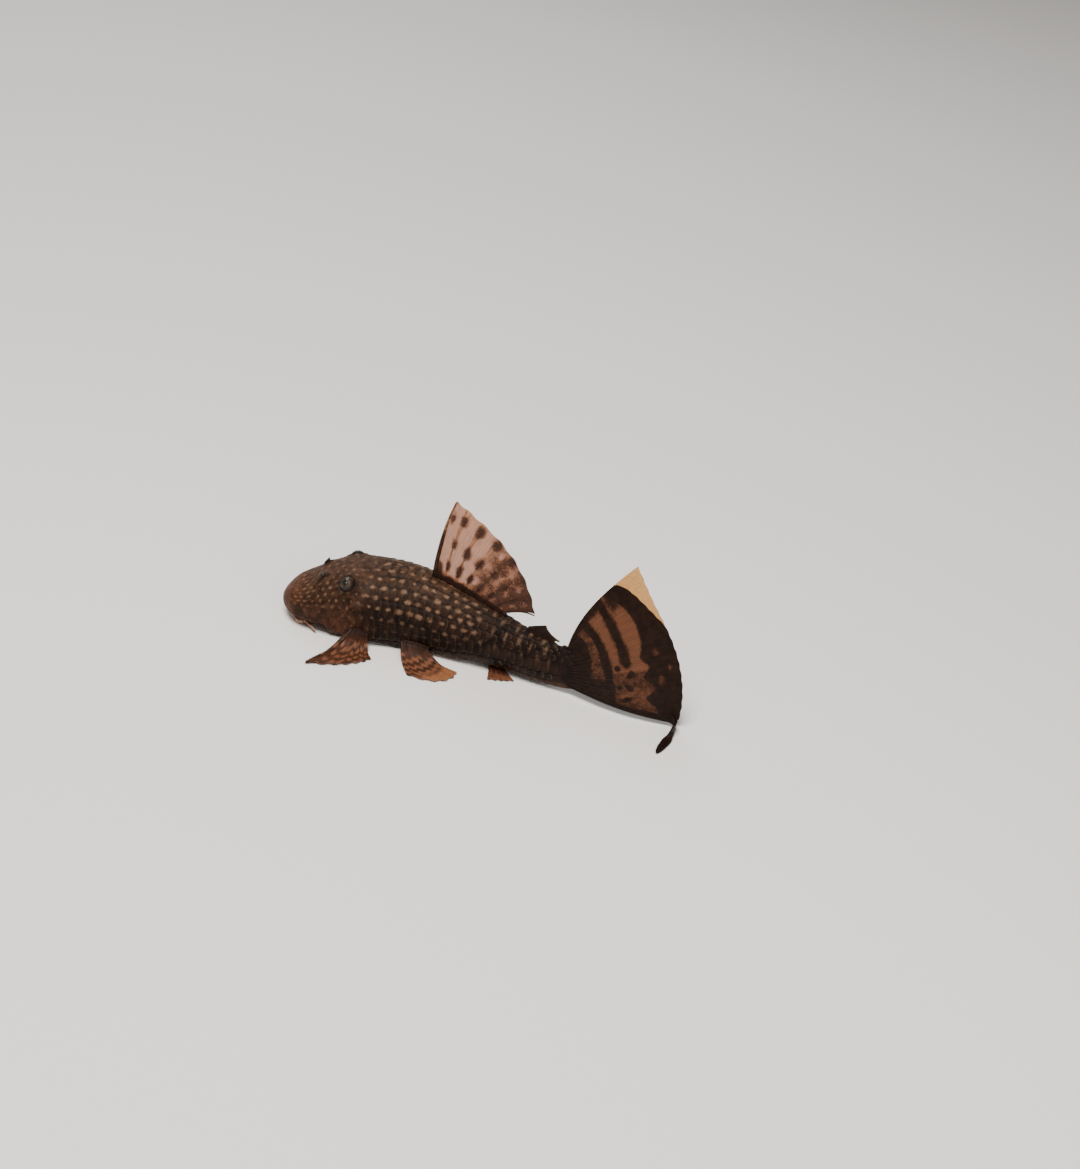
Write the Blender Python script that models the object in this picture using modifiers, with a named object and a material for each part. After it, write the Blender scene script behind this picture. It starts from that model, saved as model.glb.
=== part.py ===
"""A young bristlenose pleco at life size, resting on its belly.

The fish lies along X with its head at -X, its left flank towards -Y and its back up. Its
floor is z = 0. The origin is on the flat of the belly, under the front of the dorsal fin.
Places on the fish are shares of its standard length, which runs from the snout to the base
of the tail fin: how far along the backbone, how far to the left of it, and how high.
"""

import math

import bmesh
import bpy
import numpy as np

# Driving dimensions, in metres
STANDARD_LENGTH = 0.045
CLEARANCE = 0.0003
FIN_GAP = 0.0004
FIN_MEMBRANE = 0.00052
FIN_SPINE = 0.00095
EYE_RADIUS = 0.00128
BARBEL_RADIUS = 0.00028

# The bend of the body: turns in degrees, and the stretches of the backbone that take them up.
# The fish rests on its belly at REST_ALONG.
HEAD_TURN = 7.0
NECK_BEND = (0.17, 0.43)
TAIL_TURN = -20.0
TAIL_BEND = (0.24, 0.68)
FIN_TURN = 26.0
FIN_BEND = (1.06, 1.40)
REST_ALONG = 0.44

# The body's sections: along, back, belly, half width and height of the widest line. From the
# start of the chest to the end of the belly, the underside is on the floor instead.
SECTIONS = (
    (0.00, 0.090, 0.034, 0.094, 0.056),
    (0.08, 0.134, 0.033, 0.120, 0.056),
    (0.20, 0.199, 0.033, 0.147, 0.056),
    (0.31, 0.222, 0.030, 0.160, 0.057),
    (0.46, 0.232, 0.024, 0.140, 0.062),
    (0.60, 0.211, 0.020, 0.112, 0.068),
    (0.74, 0.189, 0.014, 0.078, 0.080),
    (0.88, 0.167, 0.013, 0.048, 0.084),
    (1.00, 0.162, 0.015, 0.031, 0.088),
)
SNOUT_ROUNDING = 0.085
BACK_ROUNDING = 0.055
CHEST_START = (0.157, 0.182)
BELLY_END = (0.655, 0.700)
BACK_FULLNESS = ((0.0, 2.5), (0.30, 2.2), (0.50, 1.85), (0.75, 1.9), (1.0, 2.2))
BELLY_FULLNESS = ((0.0, 3.4), (0.30, 3.6), (0.60, 3.0), (0.75, 2.4), (1.0, 2.2))
BELLY_FLAT = 0.007
SIDES = 36

# Where the sub-parts of the body meet
HEAD_END = 0.335
TAIL_START = 0.680

# The head's own features
EYE_ALONG = 0.221
EYE_AROUND = 2.43
EYE_SINK = 0.00070
ORBIT_RISE = 0.011
ORBIT_REACH = (0.045, 0.34)
NOSTRIL_ALONG = 0.138
NOSTRIL_AROUND = 2.80
NOSTRIL_RISE = 0.011
NOSTRIL_REACH = (0.020, 0.22)
GILL_ALONG = (0.232, 0.298)
GILL_AROUND = (1.42, 2.02)
GILL_THICKNESS = 0.0006
GILL_PROUD = 0.0006
MOUTH_ALONG = 0.088
MOUTH_LENGTH = 0.113
MOUTH_WIDTH = 0.190
BARBEL_START = (0.100, 0.108, 0.0175)
BARBEL_END = (0.136, 0.134, 0.0085)

# The fins. Their lengths and angles, in degrees, are those of the first ray and of the last.
DORSAL_BASE = (0.498, 0.760)
DORSAL_RAYS = 8
DORSAL_LENGTHS = (0.288, 0.118)
DORSAL_ANGLES = (79.0, 18.0)
DORSAL_EARLY_ANGLE = 9.0
DORSAL_SWAY = 0.012
ADIPOSE_BASE = (0.862, 0.958)
ADIPOSE_HEIGHT = 0.033
ADIPOSE_SLANT = 0.059
CAUDAL_RAYS = 16
CAUDAL_ROOT = (0.160, 0.028)
CAUDAL_CENTRE = 0.09
CAUDAL_RADII = (0.408, 0.388, 0.421)
CAUDAL_ANGLES = (-12.7, 42.0, 67.0)
CAUDAL_LOWEST = 0.001
CAUDAL_EARLY_ANGLE = 22.0
CAUDAL_LEAN = 0.10
CAUDAL_CURL_START = 1.362
CAUDAL_CURL_LENGTH = 0.160
CAUDAL_CURL_RADIUS = 0.030
CAUDAL_CURL_TURN = 108.0
CAUDAL_CURL_WIDTH = (0.035, 0.065)
PECTORAL_BASE = (0.262, 0.325)
PECTORAL_RAYS = 7
PECTORAL_ROOT_HEIGHTS = (0.050, 0.042)
PECTORAL_LEFT_ANGLES = (55.0, 116.0)
PECTORAL_RIGHT_ANGLES = (86.0, 146.0)
PECTORAL_LENGTHS = (0.200, 0.080)
PELVIC_BASE = (0.470, 0.565)
PELVIC_RAYS = 6
PELVIC_ROOT_HEIGHTS = (0.040, 0.034)
PELVIC_ANGLES = (124.0, 172.0)
PELVIC_LENGTHS = (0.138, 0.128)
PELVIC_BULGE = 0.040
PAIRED_SWEEP = 10.0
PAIRED_LANDING = 0.55
ANAL_BASE = (0.735, 0.770)
ANAL_RAYS = 5
ANAL_ANGLES = (60.0, 32.0)
ANAL_LENGTHS = (0.118, 0.105)


def ease(value, start, end):
    """0 up to start and 1 from end on, with a smooth run between them."""
    t = np.clip((np.asarray(value, float) - start) / (end - start), 0.0, 1.0)
    return t * t * (3 - 2 * t)


def through(table, column, value):
    """A smooth curve through one column of a table: cubic pieces with shared slopes."""
    x = np.array([row[0] for row in table], float)
    y = np.array([row[column] for row in table], float)
    slope = np.gradient(y, x)
    value = np.clip(np.asarray(value, float), x[0], x[-1])
    k = np.clip(np.searchsorted(x, value, side="right") - 1, 0, len(x) - 2)
    width = x[k + 1] - x[k]
    t = (value - x[k]) / width
    start = y[k] * (1 + 2 * t) * (1 - t) ** 2 + slope[k] * width * t * (1 - t) ** 2
    end = y[k + 1] * t * t * (3 - 2 * t) + slope[k + 1] * width * t * t * (t - 1)
    return start + end


def heading(along):
    """How far the backbone is turned at a place along it, in radians."""
    head = HEAD_TURN * (1 - ease(along, *NECK_BEND))
    tail = TAIL_TURN * ease(along, *TAIL_BEND)
    fin = FIN_TURN * ease(along, *FIN_BEND)
    return np.radians(head + tail + fin)


def place(along, left, height):
    """A point of the fish in metres. The backbone is the running sum of its headings."""
    fine = np.linspace(-0.5, 2.0, 2501)
    step = (fine[1] - fine[0]) * STANDARD_LENGTH
    run = np.cumsum(np.cos(heading(fine))) * step
    drift = np.cumsum(np.sin(heading(fine))) * step
    run -= np.interp(REST_ALONG, fine, run)
    drift -= np.interp(REST_ALONG, fine, drift)
    turn = heading(along)
    x = np.interp(along, fine, run) + left * STANDARD_LENGTH * np.sin(turn)
    y = np.interp(along, fine, drift) - left * STANDARD_LENGTH * np.cos(turn)
    return np.stack(np.broadcast_arrays(x, y, height * STANDARD_LENGTH), axis=-1)


def back_height(along):
    """The height of the back's ridge."""
    return through(SECTIONS, 1, along)


def half_width(along):
    """The half width at the widest line, closed to a round snout."""
    q = np.clip(np.asarray(along, float) / SNOUT_ROUNDING, 0.0, 1.0)
    return through(SECTIONS, 3, along) * np.sqrt(1 - (1 - q) ** 2)


def skin(along, around):
    """A point of the body's surface. around is 0 under the belly, a quarter turn at the left
    flank, half a turn at the back and a full turn at the belly again. Each section is two
    halves of superellipses that meet at the widest line, and the belly is cut flat."""
    along, around = np.broadcast_arrays(np.asarray(along, float), np.asarray(around, float))
    widest = through(SECTIONS, 4, along)
    q = np.clip(along / BACK_ROUNDING, 0.0, 1.0)
    closing = np.sqrt(1 - (1 - q) ** 2)
    top = widest + (back_height(along) - widest) * closing
    chest = ease(along, *CHEST_START) - ease(along, *BELLY_END)
    under = through(SECTIONS, 2, along) * (1 - chest)
    under = widest - (widest - under) * closing
    upper = np.cos(around) < 0
    fullness = np.where(upper, through(BACK_FULLNESS, 1, along), through(BELLY_FULLNESS, 1, along))
    reach = np.abs(np.sin(around)) ** (2 / fullness)
    rise = np.abs(np.cos(around)) ** (2 / fullness)
    left = half_width(along) * reach * np.sign(np.sin(around))
    low = np.maximum(widest - (widest - under + BELLY_FLAT) * rise, under)
    height = np.where(upper, widest + (top - widest) * rise, low)
    mirrored = np.minimum(around, 2 * math.pi - around)
    for at, turned, rise_by, reach_by in (
        (EYE_ALONG, EYE_AROUND, ORBIT_RISE, ORBIT_REACH),
        (NOSTRIL_ALONG, NOSTRIL_AROUND, NOSTRIL_RISE, NOSTRIL_REACH),
    ):
        away = ((along - at) / reach_by[0]) ** 2 + ((mirrored - turned) / reach_by[1]) ** 2
        height = height + rise_by * np.exp(-away)
    return place(along, left, height)


def outward(along, around):
    """The unit normal of the body's surface, from its two slopes."""
    nudge = 1e-3
    forward = skin(along + nudge, around) - skin(along - nudge, around)
    upward = skin(along, around + nudge) - skin(along, around - nudge)
    normal = np.cross(forward, upward)
    return normal / np.linalg.norm(normal, axis=-1, keepdims=True)


def finish(name, colour, roughness):
    """A plain material in the sub-part's own colour."""
    material = bpy.data.materials.new(name)
    material.use_nodes = True
    shader = material.node_tree.nodes["Principled BSDF"]
    shader.inputs["Base Color"].default_value = (*colour, 1.0)
    shader.inputs["Roughness"].default_value = roughness
    shader.inputs["Metallic"].default_value = 0.0
    return material


def add_mesh(name, points, faces, collection, material):
    """A mesh object from points in metres and faces."""
    mesh = bpy.data.meshes.new(name)
    mesh.from_pydata([tuple(map(float, p)) for p in points], [], faces)
    mesh.materials.append(material)
    mesh.shade_smooth()
    obj = bpy.data.objects.new(name, mesh)
    collection.objects.link(obj)
    return obj


def grid_faces(rows, columns):
    """The quads of a grid of points, seen with the rows going up and the columns right."""
    faces = []
    for row in range(rows - 1):
        for column in range(columns - 1):
            corner = row * columns + column
            faces.append((corner, corner + 1, corner + columns + 1, corner + columns))
    return faces


def body_length(name, start, end, rings, collection, material):
    """One length of the body: a closed loft between its changing sections, capped at each end.
    The rings stand closer together towards the snout."""
    shares = np.linspace(0.0, 1.0, rings)
    if start < 0.1:
        shares = shares ** 1.6
    along = start + (end - start) * shares
    around = np.linspace(0.0, 2 * math.pi, SIDES, endpoint=False)
    points = skin(along[:, None], around[None, :]).reshape(-1, 3)
    faces = []
    for ring in range(rings - 1):
        for side in range(SIDES):
            beside = (side + 1) % SIDES
            here, ahead = ring * SIDES, (ring + 1) * SIDES
            faces.append((here + side, ahead + side, ahead + beside, here + beside))
    faces.append(tuple(range(SIDES)))
    faces.append(tuple((rings - 1) * SIDES + side for side in reversed(range(SIDES))))
    return add_mesh(name, points, faces, collection, material)


def thicken(obj, thickness, offset, thin_share=None):
    """A wall on an open surface. Where thin_share is given, the thickness group scales it."""
    wall = obj.modifiers.new("wall", "SOLIDIFY")
    wall.thickness = thickness
    wall.offset = offset
    wall.use_even_offset = False
    if thin_share is not None:
        wall.vertex_group = "thickness"
        wall.thickness_vertex_group = thin_share
    return wall


def fin_sheet(name, points, columns_per_ray, collection, material, offset=0.0):
    """A fin: an open grid with a row for each step out from the body and a column along each
    ray. The first ray is the thick spine, and the others stand out a little."""
    rows, columns, _ = points.shape
    obj = add_mesh(name, points.reshape(-1, 3), grid_faces(rows, columns), collection, material)
    group = obj.vertex_groups.new(name="thickness")
    for column in range(columns):
        if column == 0:
            weight = 1.0
        elif column % columns_per_ray == 0:
            weight = 0.45
        else:
            weight = 0.0
        for row in range(rows):
            taper = 1.0 - 0.6 * row / (rows - 1)
            group.add([row * columns + column], weight * taper, "REPLACE")
    thicken(obj, FIN_SPINE, offset, FIN_MEMBRANE / FIN_SPINE)
    return obj


def cut(target, cutter):
    """Takes the cutter's space out of the target."""
    modifier = target.modifiers.new("cut", "BOOLEAN")
    modifier.operation = "DIFFERENCE"
    modifier.solver = "EXACT"
    modifier.object = cutter


def as_cutter(obj, cutters):
    """Keeps a shape out of sight as a cutter."""
    for holder in list(obj.users_collection):
        holder.objects.unlink(obj)
    cutters.objects.link(obj)
    obj.hide_render = True
    obj.display_type = "WIRE"
    return obj


def ball(name, radius, segments, rings, collection, material):
    """A sphere at the origin."""
    mesh = bpy.data.meshes.new(name)
    shape = bmesh.new()
    bmesh.ops.create_uvsphere(shape, u_segments=segments, v_segments=rings, radius=radius)
    shape.to_mesh(mesh)
    shape.free()
    mesh.materials.append(material)
    mesh.shade_smooth()
    obj = bpy.data.objects.new(name, mesh)
    collection.objects.link(obj)
    return obj


def mirrored_around(around, side):
    """The same place on the left flank for side 1, or on the right one for side -1."""
    return around if side > 0 else 2 * math.pi - around


def build_eye(name, side, head, collection, cutters, material):
    """An eyeball sunk in a socket of the head, proud of the skin by most of its radius."""
    around = mirrored_around(EYE_AROUND, side)
    centre = skin(EYE_ALONG, around) - outward(EYE_ALONG, around) * EYE_SINK
    eye = ball(name, EYE_RADIUS, 16, 10, collection, material)
    eye.location = centre
    socket = ball(name + "_socket", EYE_RADIUS + CLEARANCE, 16, 10, collection, material)
    socket.location = centre
    cut(head, as_cutter(socket, cutters))
    return eye


def skin_patch(name, along, around, side, lift, collection, material):
    """An open patch that follows the flank, lifted off it. Its faces point outwards."""
    rows = np.linspace(*along, 7)
    columns = np.linspace(*around, 7)
    if side < 0:
        rows = rows[::-1]
    at, turned = np.meshgrid(rows, mirrored_around(columns, side), indexing="ij")
    points = skin(at, turned) + outward(at, turned) * lift
    faces = [tuple(reversed(face)) for face in grid_faces(7, 7)]
    return add_mesh(name, points.reshape(-1, 3), faces, collection, material)


def build_gill_cover(name, side, head, collection, cutters, material):
    """The gill cover, a curved plate set flush into a shallow seat in the cheek."""
    cover = skin_patch(name, GILL_ALONG, GILL_AROUND, side, 0.0, collection, material)
    thicken(cover, GILL_THICKNESS, -1.0)
    margin = CLEARANCE / STANDARD_LENGTH
    along = (GILL_ALONG[0] - margin, GILL_ALONG[1] + margin)
    turn_margin = margin / 0.12
    around = (GILL_AROUND[0] - turn_margin, GILL_AROUND[1] + turn_margin)
    seat = skin_patch(name + "_seat", along, around, side, GILL_PROUD, collection, material)
    thicken(seat, GILL_THICKNESS + CLEARANCE + GILL_PROUD, -1.0)
    cut(head, as_cutter(seat, cutters))
    return cover


def build_mouth(collection, material):
    """The sucker mouth, a turned disc of lip round a shallow mouth, wider than it is long."""
    half_length = MOUTH_LENGTH / 2 * STANDARD_LENGTH
    profile = (
        (0.00, 1.14), (0.84, 1.14), (0.95, 0.95), (1.00, 0.62), (0.99, 0.28), (0.93, 0.00),
        (0.56, 0.00), (0.46, 0.34), (0.00, 0.46),
    )
    mesh = bpy.data.meshes.new("mouth")
    points = [(share * half_length, 0.0, height * 0.001) for share, height in profile]
    mesh.from_pydata(points, [(k, k + 1) for k in range(len(points) - 1)], [])
    mesh.materials.append(material)
    obj = bpy.data.objects.new("mouth", mesh)
    collection.objects.link(obj)
    turn = obj.modifiers.new("turn", "SCREW")
    turn.steps = 28
    turn.render_steps = 28
    turn.use_merge_vertices = True
    turn.merge_threshold = 0.00001
    turn.use_smooth_shade = True
    obj.location = place(MOUTH_ALONG, 0.0, 0.0)
    obj.rotation_euler = (0.0, 0.0, float(heading(MOUTH_ALONG)))
    obj.scale = (1.0, MOUTH_WIDTH / MOUTH_LENGTH, 1.0)
    return obj


def build_barbel(name, side, collection, material):
    """A short feeler at the corner of the mouth, a tapered tube that trails outwards."""
    curve = bpy.data.curves.new(name, "CURVE")
    curve.dimensions = "3D"
    curve.bevel_depth = BARBEL_RADIUS
    curve.bevel_resolution = 2
    curve.use_fill_caps = True
    spline = curve.splines.new("POLY")
    shares = np.linspace(0.0, 1.0, 6)
    along, left, height = [a + (b - a) * shares for a, b in zip(BARBEL_START, BARBEL_END)]
    points = place(along, side * left, height)
    spline.points.add(len(points) - 1)
    for k, point in enumerate(points):
        spline.points[k].co = (*point, 1.0)
        spline.points[k].radius = 1.0 - 0.1 * shares[k]
    curve.materials.append(material)
    obj = bpy.data.objects.new(name, curve)
    collection.objects.link(obj)
    return obj


def ray_curve(base, control, tip, share):
    """A ray that leaves its base towards the control point and ends at the tip."""
    return base * (1 - share) ** 2 + control * 2 * share * (1 - share) + tip * share * share


def build_dorsal_fin(collection, material):
    """The tall dorsal fin, with a stout spine and seven rays that lean back one after the
    other. Their length and their angle fall by powers of their number."""
    per_ray = 3
    number = np.linspace(0.0, DORSAL_RAYS - 1, (DORSAL_RAYS - 1) * per_ray + 1)
    share = number / (DORSAL_RAYS - 1)
    along = DORSAL_BASE[0] + (DORSAL_BASE[1] - DORSAL_BASE[0]) * share
    length = DORSAL_LENGTHS[0] + (DORSAL_LENGTHS[1] - DORSAL_LENGTHS[0]) * share ** 1.4
    scallop = 0.010 * np.sin(math.pi * number) ** 2
    angle = DORSAL_ANGLES[0] + (DORSAL_ANGLES[1] - DORSAL_ANGLES[0]) * share ** 1.6
    angle = np.radians(angle)
    base = np.stack([along, back_height(along) + FIN_GAP / STANDARD_LENGTH], -1)
    tip = base + (length - scallop)[:, None] * np.stack([np.cos(angle), np.sin(angle)], -1)
    early = angle + math.radians(DORSAL_EARLY_ANGLE)
    control = base + 0.5 * length[:, None] * np.stack([np.cos(early), np.sin(early)], -1)
    out = np.linspace(0.0, 1.0, 9)[:, None, None]
    flat = ray_curve(base[None], control[None], tip[None], out)
    sway = DORSAL_SWAY * np.sin(flat[..., 0] * 14.0) * ease(out[..., 0], 0.1, 1.0)
    points = place(flat[..., 0], sway, flat[..., 1])
    return fin_sheet("dorsal_fin", points, per_ray, collection, material)


def build_adipose_fin(collection, material):
    """The small adipose fin: a short spine laid back, with a membrane behind it."""
    columns = np.linspace(0.0, 1.0, 7)
    along = ADIPOSE_BASE[0] + (ADIPOSE_BASE[1] - ADIPOSE_BASE[0]) * columns
    base = np.stack([along, back_height(along) + FIN_GAP / STANDARD_LENGTH], -1)
    last = 0.17
    rise = ADIPOSE_HEIGHT * (1 - (1 - last) * columns ** 0.8)
    tip = base + np.stack([ADIPOSE_SLANT * (1 - (1 - last) * columns), rise], -1)
    out = np.linspace(0.0, 1.0, 4)[:, None, None]
    flat = base[None] * (1 - out) + tip[None] * out
    points = place(flat[..., 0], 0.0 * flat[..., 0], flat[..., 1])
    return fin_sheet("adipose_fin", points, 6, collection, material)


def build_caudal_fin(collection, material):
    """The tail fin. Its rays fan out from low to high, its upper half leans to the fish's
    right, and the tip of its lowest ray curls forward to the left along the floor."""
    per_ray = 2
    ray = np.linspace(0.0, 1.0, (CAUDAL_RAYS - 1) * per_ray + 1)
    low, middle, high = CAUDAL_ANGLES
    angle = high + (low - high) * ray
    upper = np.clip((angle - middle) / (high - middle), 0.0, 1.0)
    lower = np.clip((middle - angle) / (middle - low), 0.0, 1.0)
    reach = CAUDAL_RADII[1] + (CAUDAL_RADII[2] - CAUDAL_RADII[1]) * upper ** 2
    reach = reach + (CAUDAL_RADII[0] - CAUDAL_RADII[1]) * lower ** 1.4
    curl = 1 - ease(1 - ray, *CAUDAL_CURL_WIDTH)
    toward = np.radians(angle)
    tip = np.stack([1.0 + reach * np.cos(toward), CAUDAL_CENTRE + reach * np.sin(toward)], -1)
    tip[:, 0] += CAUDAL_CURL_LENGTH * curl
    tip[:, 1] = np.maximum(tip[:, 1], CAUDAL_LOWEST)
    root_along = 1.0 + CLEARANCE / STANDARD_LENGTH + 0.012 * np.sin(math.pi * ray)
    base = np.stack([root_along, CAUDAL_ROOT[0] + (CAUDAL_ROOT[1] - CAUDAL_ROOT[0]) * ray], -1)
    chord = tip - base
    early = np.arctan2(chord[:, 1], chord[:, 0]) + math.radians(CAUDAL_EARLY_ANGLE) * upper ** 1.5
    span = np.linalg.norm(chord, axis=-1)
    control = base + 0.45 * span[:, None] * np.stack([np.cos(early), np.sin(early)], -1)
    out = 1 - (1 - np.linspace(0.0, 1.0, 13)[:, None, None]) ** 1.6
    flat = ray_curve(base[None], control[None], tip[None], out)
    along, height = flat[..., 0], flat[..., 1]
    beyond = np.maximum(along - CAUDAL_CURL_START, 0.0)
    turn = math.radians(CAUDAL_CURL_TURN) * curl[None, :]
    bend = np.minimum(beyond / CAUDAL_CURL_RADIUS, turn)
    straight = beyond - bend * CAUDAL_CURL_RADIUS
    bent_along = along - beyond + CAUDAL_CURL_RADIUS * np.sin(bend) + straight * np.cos(bend)
    left = CAUDAL_CURL_RADIUS * (1 - np.cos(bend)) + straight * np.sin(bend)
    lean = CAUDAL_LEAN * np.clip((height - 0.10) / 0.40, 0.0, 1.2) ** 1.5
    points = place(bent_along, left - lean, height)
    return fin_sheet("caudal_fin", points, per_ray, collection, material)


def paired_fin(name, side, root, angles, lengths, bulge, rays, collection, material):
    """A fan of rays from the lower flank down to the floor. The angles run from the front ray
    to the last, measured from straight ahead. The outer part lies flat on the floor, and the
    wall grows upwards from there."""
    per_ray = 2
    number = np.linspace(0.0, rays - 1, (rays - 1) * per_ray + 1)
    share = number / (rays - 1)
    along, start, rise = [ends[0] + (ends[1] - ends[0]) * share for ends in root]
    angle = np.radians(angles[0] + (angles[1] - angles[0]) * share)
    scallop = 0.006 * np.sin(math.pi * number) ** 2
    length = lengths[0] + (lengths[1] - lengths[0]) * share ** 0.8 - scallop
    length = length + bulge * np.sin(math.pi * share)
    out = np.linspace(0.0, 1.0, 9)[:, None]
    swept = angle[None, :] + math.radians(PAIRED_SWEEP) * (out - 0.5)
    ahead = np.cumsum(np.cos(swept) * length[None, :] / 8, axis=0)
    aside = np.cumsum(np.sin(swept) * length[None, :] / 8, axis=0)
    ahead = ahead - ahead[:1]
    aside = aside - aside[:1]
    fall = np.clip(1 - out / PAIRED_LANDING, 0.0, 1.0) ** 1.6
    height = rise[None, :] * fall
    spot = place(along[None, :] + 0 * out, side * (start[None, :] + aside), height)
    turn = heading(along)[None, :] + 0 * out
    spot[..., 0] -= ahead * np.cos(turn) * STANDARD_LENGTH
    spot[..., 1] -= ahead * np.sin(turn) * STANDARD_LENGTH
    return fin_sheet(name, spot, per_ray, collection, material, offset=-side)


def beside_body(base):
    """How far to the side the two ends of a paired fin's root are, just off the body."""
    gap = FIN_GAP / STANDARD_LENGTH
    return tuple(float(half_width(along)) + gap for along in base)


def build_pectoral_fin(name, side, collection, material):
    """A pectoral fin, spread from the shoulder with its spine in front."""
    angles = PECTORAL_LEFT_ANGLES if side > 0 else PECTORAL_RIGHT_ANGLES
    root = (PECTORAL_BASE, beside_body(PECTORAL_BASE), PECTORAL_ROOT_HEIGHTS)
    return paired_fin(name, side, root, angles, PECTORAL_LENGTHS, 0.0, PECTORAL_RAYS, collection, material)


def build_pelvic_fin(name, side, collection, material):
    """A pelvic fin, spread from the belly's edge."""
    root = (PELVIC_BASE, beside_body(PELVIC_BASE), PELVIC_ROOT_HEIGHTS)
    return paired_fin(
        name, side, root, PELVIC_ANGLES, PELVIC_LENGTHS, PELVIC_BULGE, PELVIC_RAYS, collection, material,
    )


def build_anal_fin(collection, material):
    """The small anal fin, folded back and laid over to the left on the floor under the tail."""
    per_ray = 2
    number = np.linspace(0.0, ANAL_RAYS - 1, (ANAL_RAYS - 1) * per_ray + 1)
    share = number / (ANAL_RAYS - 1)
    angle = np.radians(ANAL_ANGLES[0] + (ANAL_ANGLES[1] - ANAL_ANGLES[0]) * share)
    length = ANAL_LENGTHS[0] + (ANAL_LENGTHS[1] - ANAL_LENGTHS[0]) * share
    out = np.linspace(0.0, 1.0, 6)[:, None]
    along = ANAL_BASE[0] + (ANAL_BASE[1] - ANAL_BASE[0]) * share[None, :]
    along = along + out * (length * np.cos(angle))[None, :]
    left = out * (length * np.sin(angle))[None, :]
    points = place(along, left, 0.0 * along)
    obj = fin_sheet("anal_fin", points, per_ray, collection, material, offset=-1.0)
    wall = obj.modifiers["wall"]
    wall.thickness = FIN_MEMBRANE
    wall.vertex_group = ""
    return obj


def build_fish(collection, cutters):
    """Every sub-part of the fish, in its own colour."""
    dark = (0.045, 0.030, 0.020)
    half_gap = CLEARANCE / 2 / STANDARD_LENGTH
    head = body_length("head", 0.003, HEAD_END - half_gap, 20, collection,
                       finish("head_skin", (0.075, 0.048, 0.030), 0.55))
    body_length("trunk", HEAD_END + half_gap, TAIL_START - half_gap, 12, collection,
                finish("trunk_skin", dark, 0.5))
    body_length("tail", TAIL_START + half_gap, 1.0, 10, collection,
                finish("tail_skin", (0.055, 0.036, 0.022), 0.5))
    eye = finish("eye", (0.010, 0.012, 0.018), 0.1)
    plate = finish("gill_cover", (0.065, 0.040, 0.025), 0.55)
    lip = finish("lip", (0.35, 0.22, 0.16), 0.5)
    feeler = finish("barbel", (0.30, 0.17, 0.11), 0.5)
    paired = finish("paired_fins", (0.16, 0.085, 0.045), 0.45)
    for side_name, side in (("left", 1), ("right", -1)):
        build_eye("eye_" + side_name, side, head, collection, cutters, eye)
        build_gill_cover("gill_cover_" + side_name, side, head, collection, cutters, plate)
        build_barbel("barbel_" + side_name, side, collection, feeler)
        build_pectoral_fin("pectoral_fin_" + side_name, side, collection, paired)
        build_pelvic_fin("pelvic_fin_" + side_name, side, collection, paired)
    build_mouth(collection, lip)
    build_dorsal_fin(collection, finish("dorsal_fin", (0.20, 0.11, 0.06), 0.4))
    build_adipose_fin(collection, finish("adipose_fin", dark, 0.45))
    build_caudal_fin(collection, finish("caudal_fin", (0.14, 0.08, 0.045), 0.4))
    build_anal_fin(collection, finish("anal_fin", (0.18, 0.10, 0.06), 0.45))


for leftover in list(bpy.data.objects):
    bpy.data.objects.remove(leftover)
fish = bpy.data.collections.new("bristlenose_pleco")
bpy.context.scene.collection.children.link(fish)
cutting = bpy.data.collections.new("cutters")
bpy.context.scene.collection.children.link(cutting)
build_fish(fish, cutting)
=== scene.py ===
import math

import bmesh
import bpy
import numpy as np
from mathutils import Matrix


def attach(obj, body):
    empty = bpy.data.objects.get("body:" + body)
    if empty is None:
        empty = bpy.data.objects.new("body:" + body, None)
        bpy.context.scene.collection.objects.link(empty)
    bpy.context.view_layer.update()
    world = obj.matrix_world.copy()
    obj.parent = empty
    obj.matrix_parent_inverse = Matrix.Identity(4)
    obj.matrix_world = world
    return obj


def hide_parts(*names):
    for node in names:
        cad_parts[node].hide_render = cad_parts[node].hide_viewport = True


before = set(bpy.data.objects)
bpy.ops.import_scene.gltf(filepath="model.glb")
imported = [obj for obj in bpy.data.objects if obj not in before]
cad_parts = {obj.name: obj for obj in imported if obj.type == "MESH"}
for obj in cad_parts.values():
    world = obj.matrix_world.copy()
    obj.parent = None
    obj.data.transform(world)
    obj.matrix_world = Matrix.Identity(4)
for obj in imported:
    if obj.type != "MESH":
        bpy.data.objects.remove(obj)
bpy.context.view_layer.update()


# The hide: one skin over the head, the trunk and the tail of the fish. It is thick skin over
# small bony plates, which overlap like roof tiles in five rows on each side. The model has it
# cast in one piece, with the plates, the eye sockets, the nostrils and the gill covers in it.
STANDARD_LENGTH = 0.045
HEAD_TURN = 7.0
NECK_BEND = (0.17, 0.43)
TAIL_TURN = -20.0
TAIL_BEND = (0.24, 0.68)
FIN_TURN = 26.0
FIN_BEND = (1.06, 1.40)
REST_ALONG = 0.44
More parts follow.
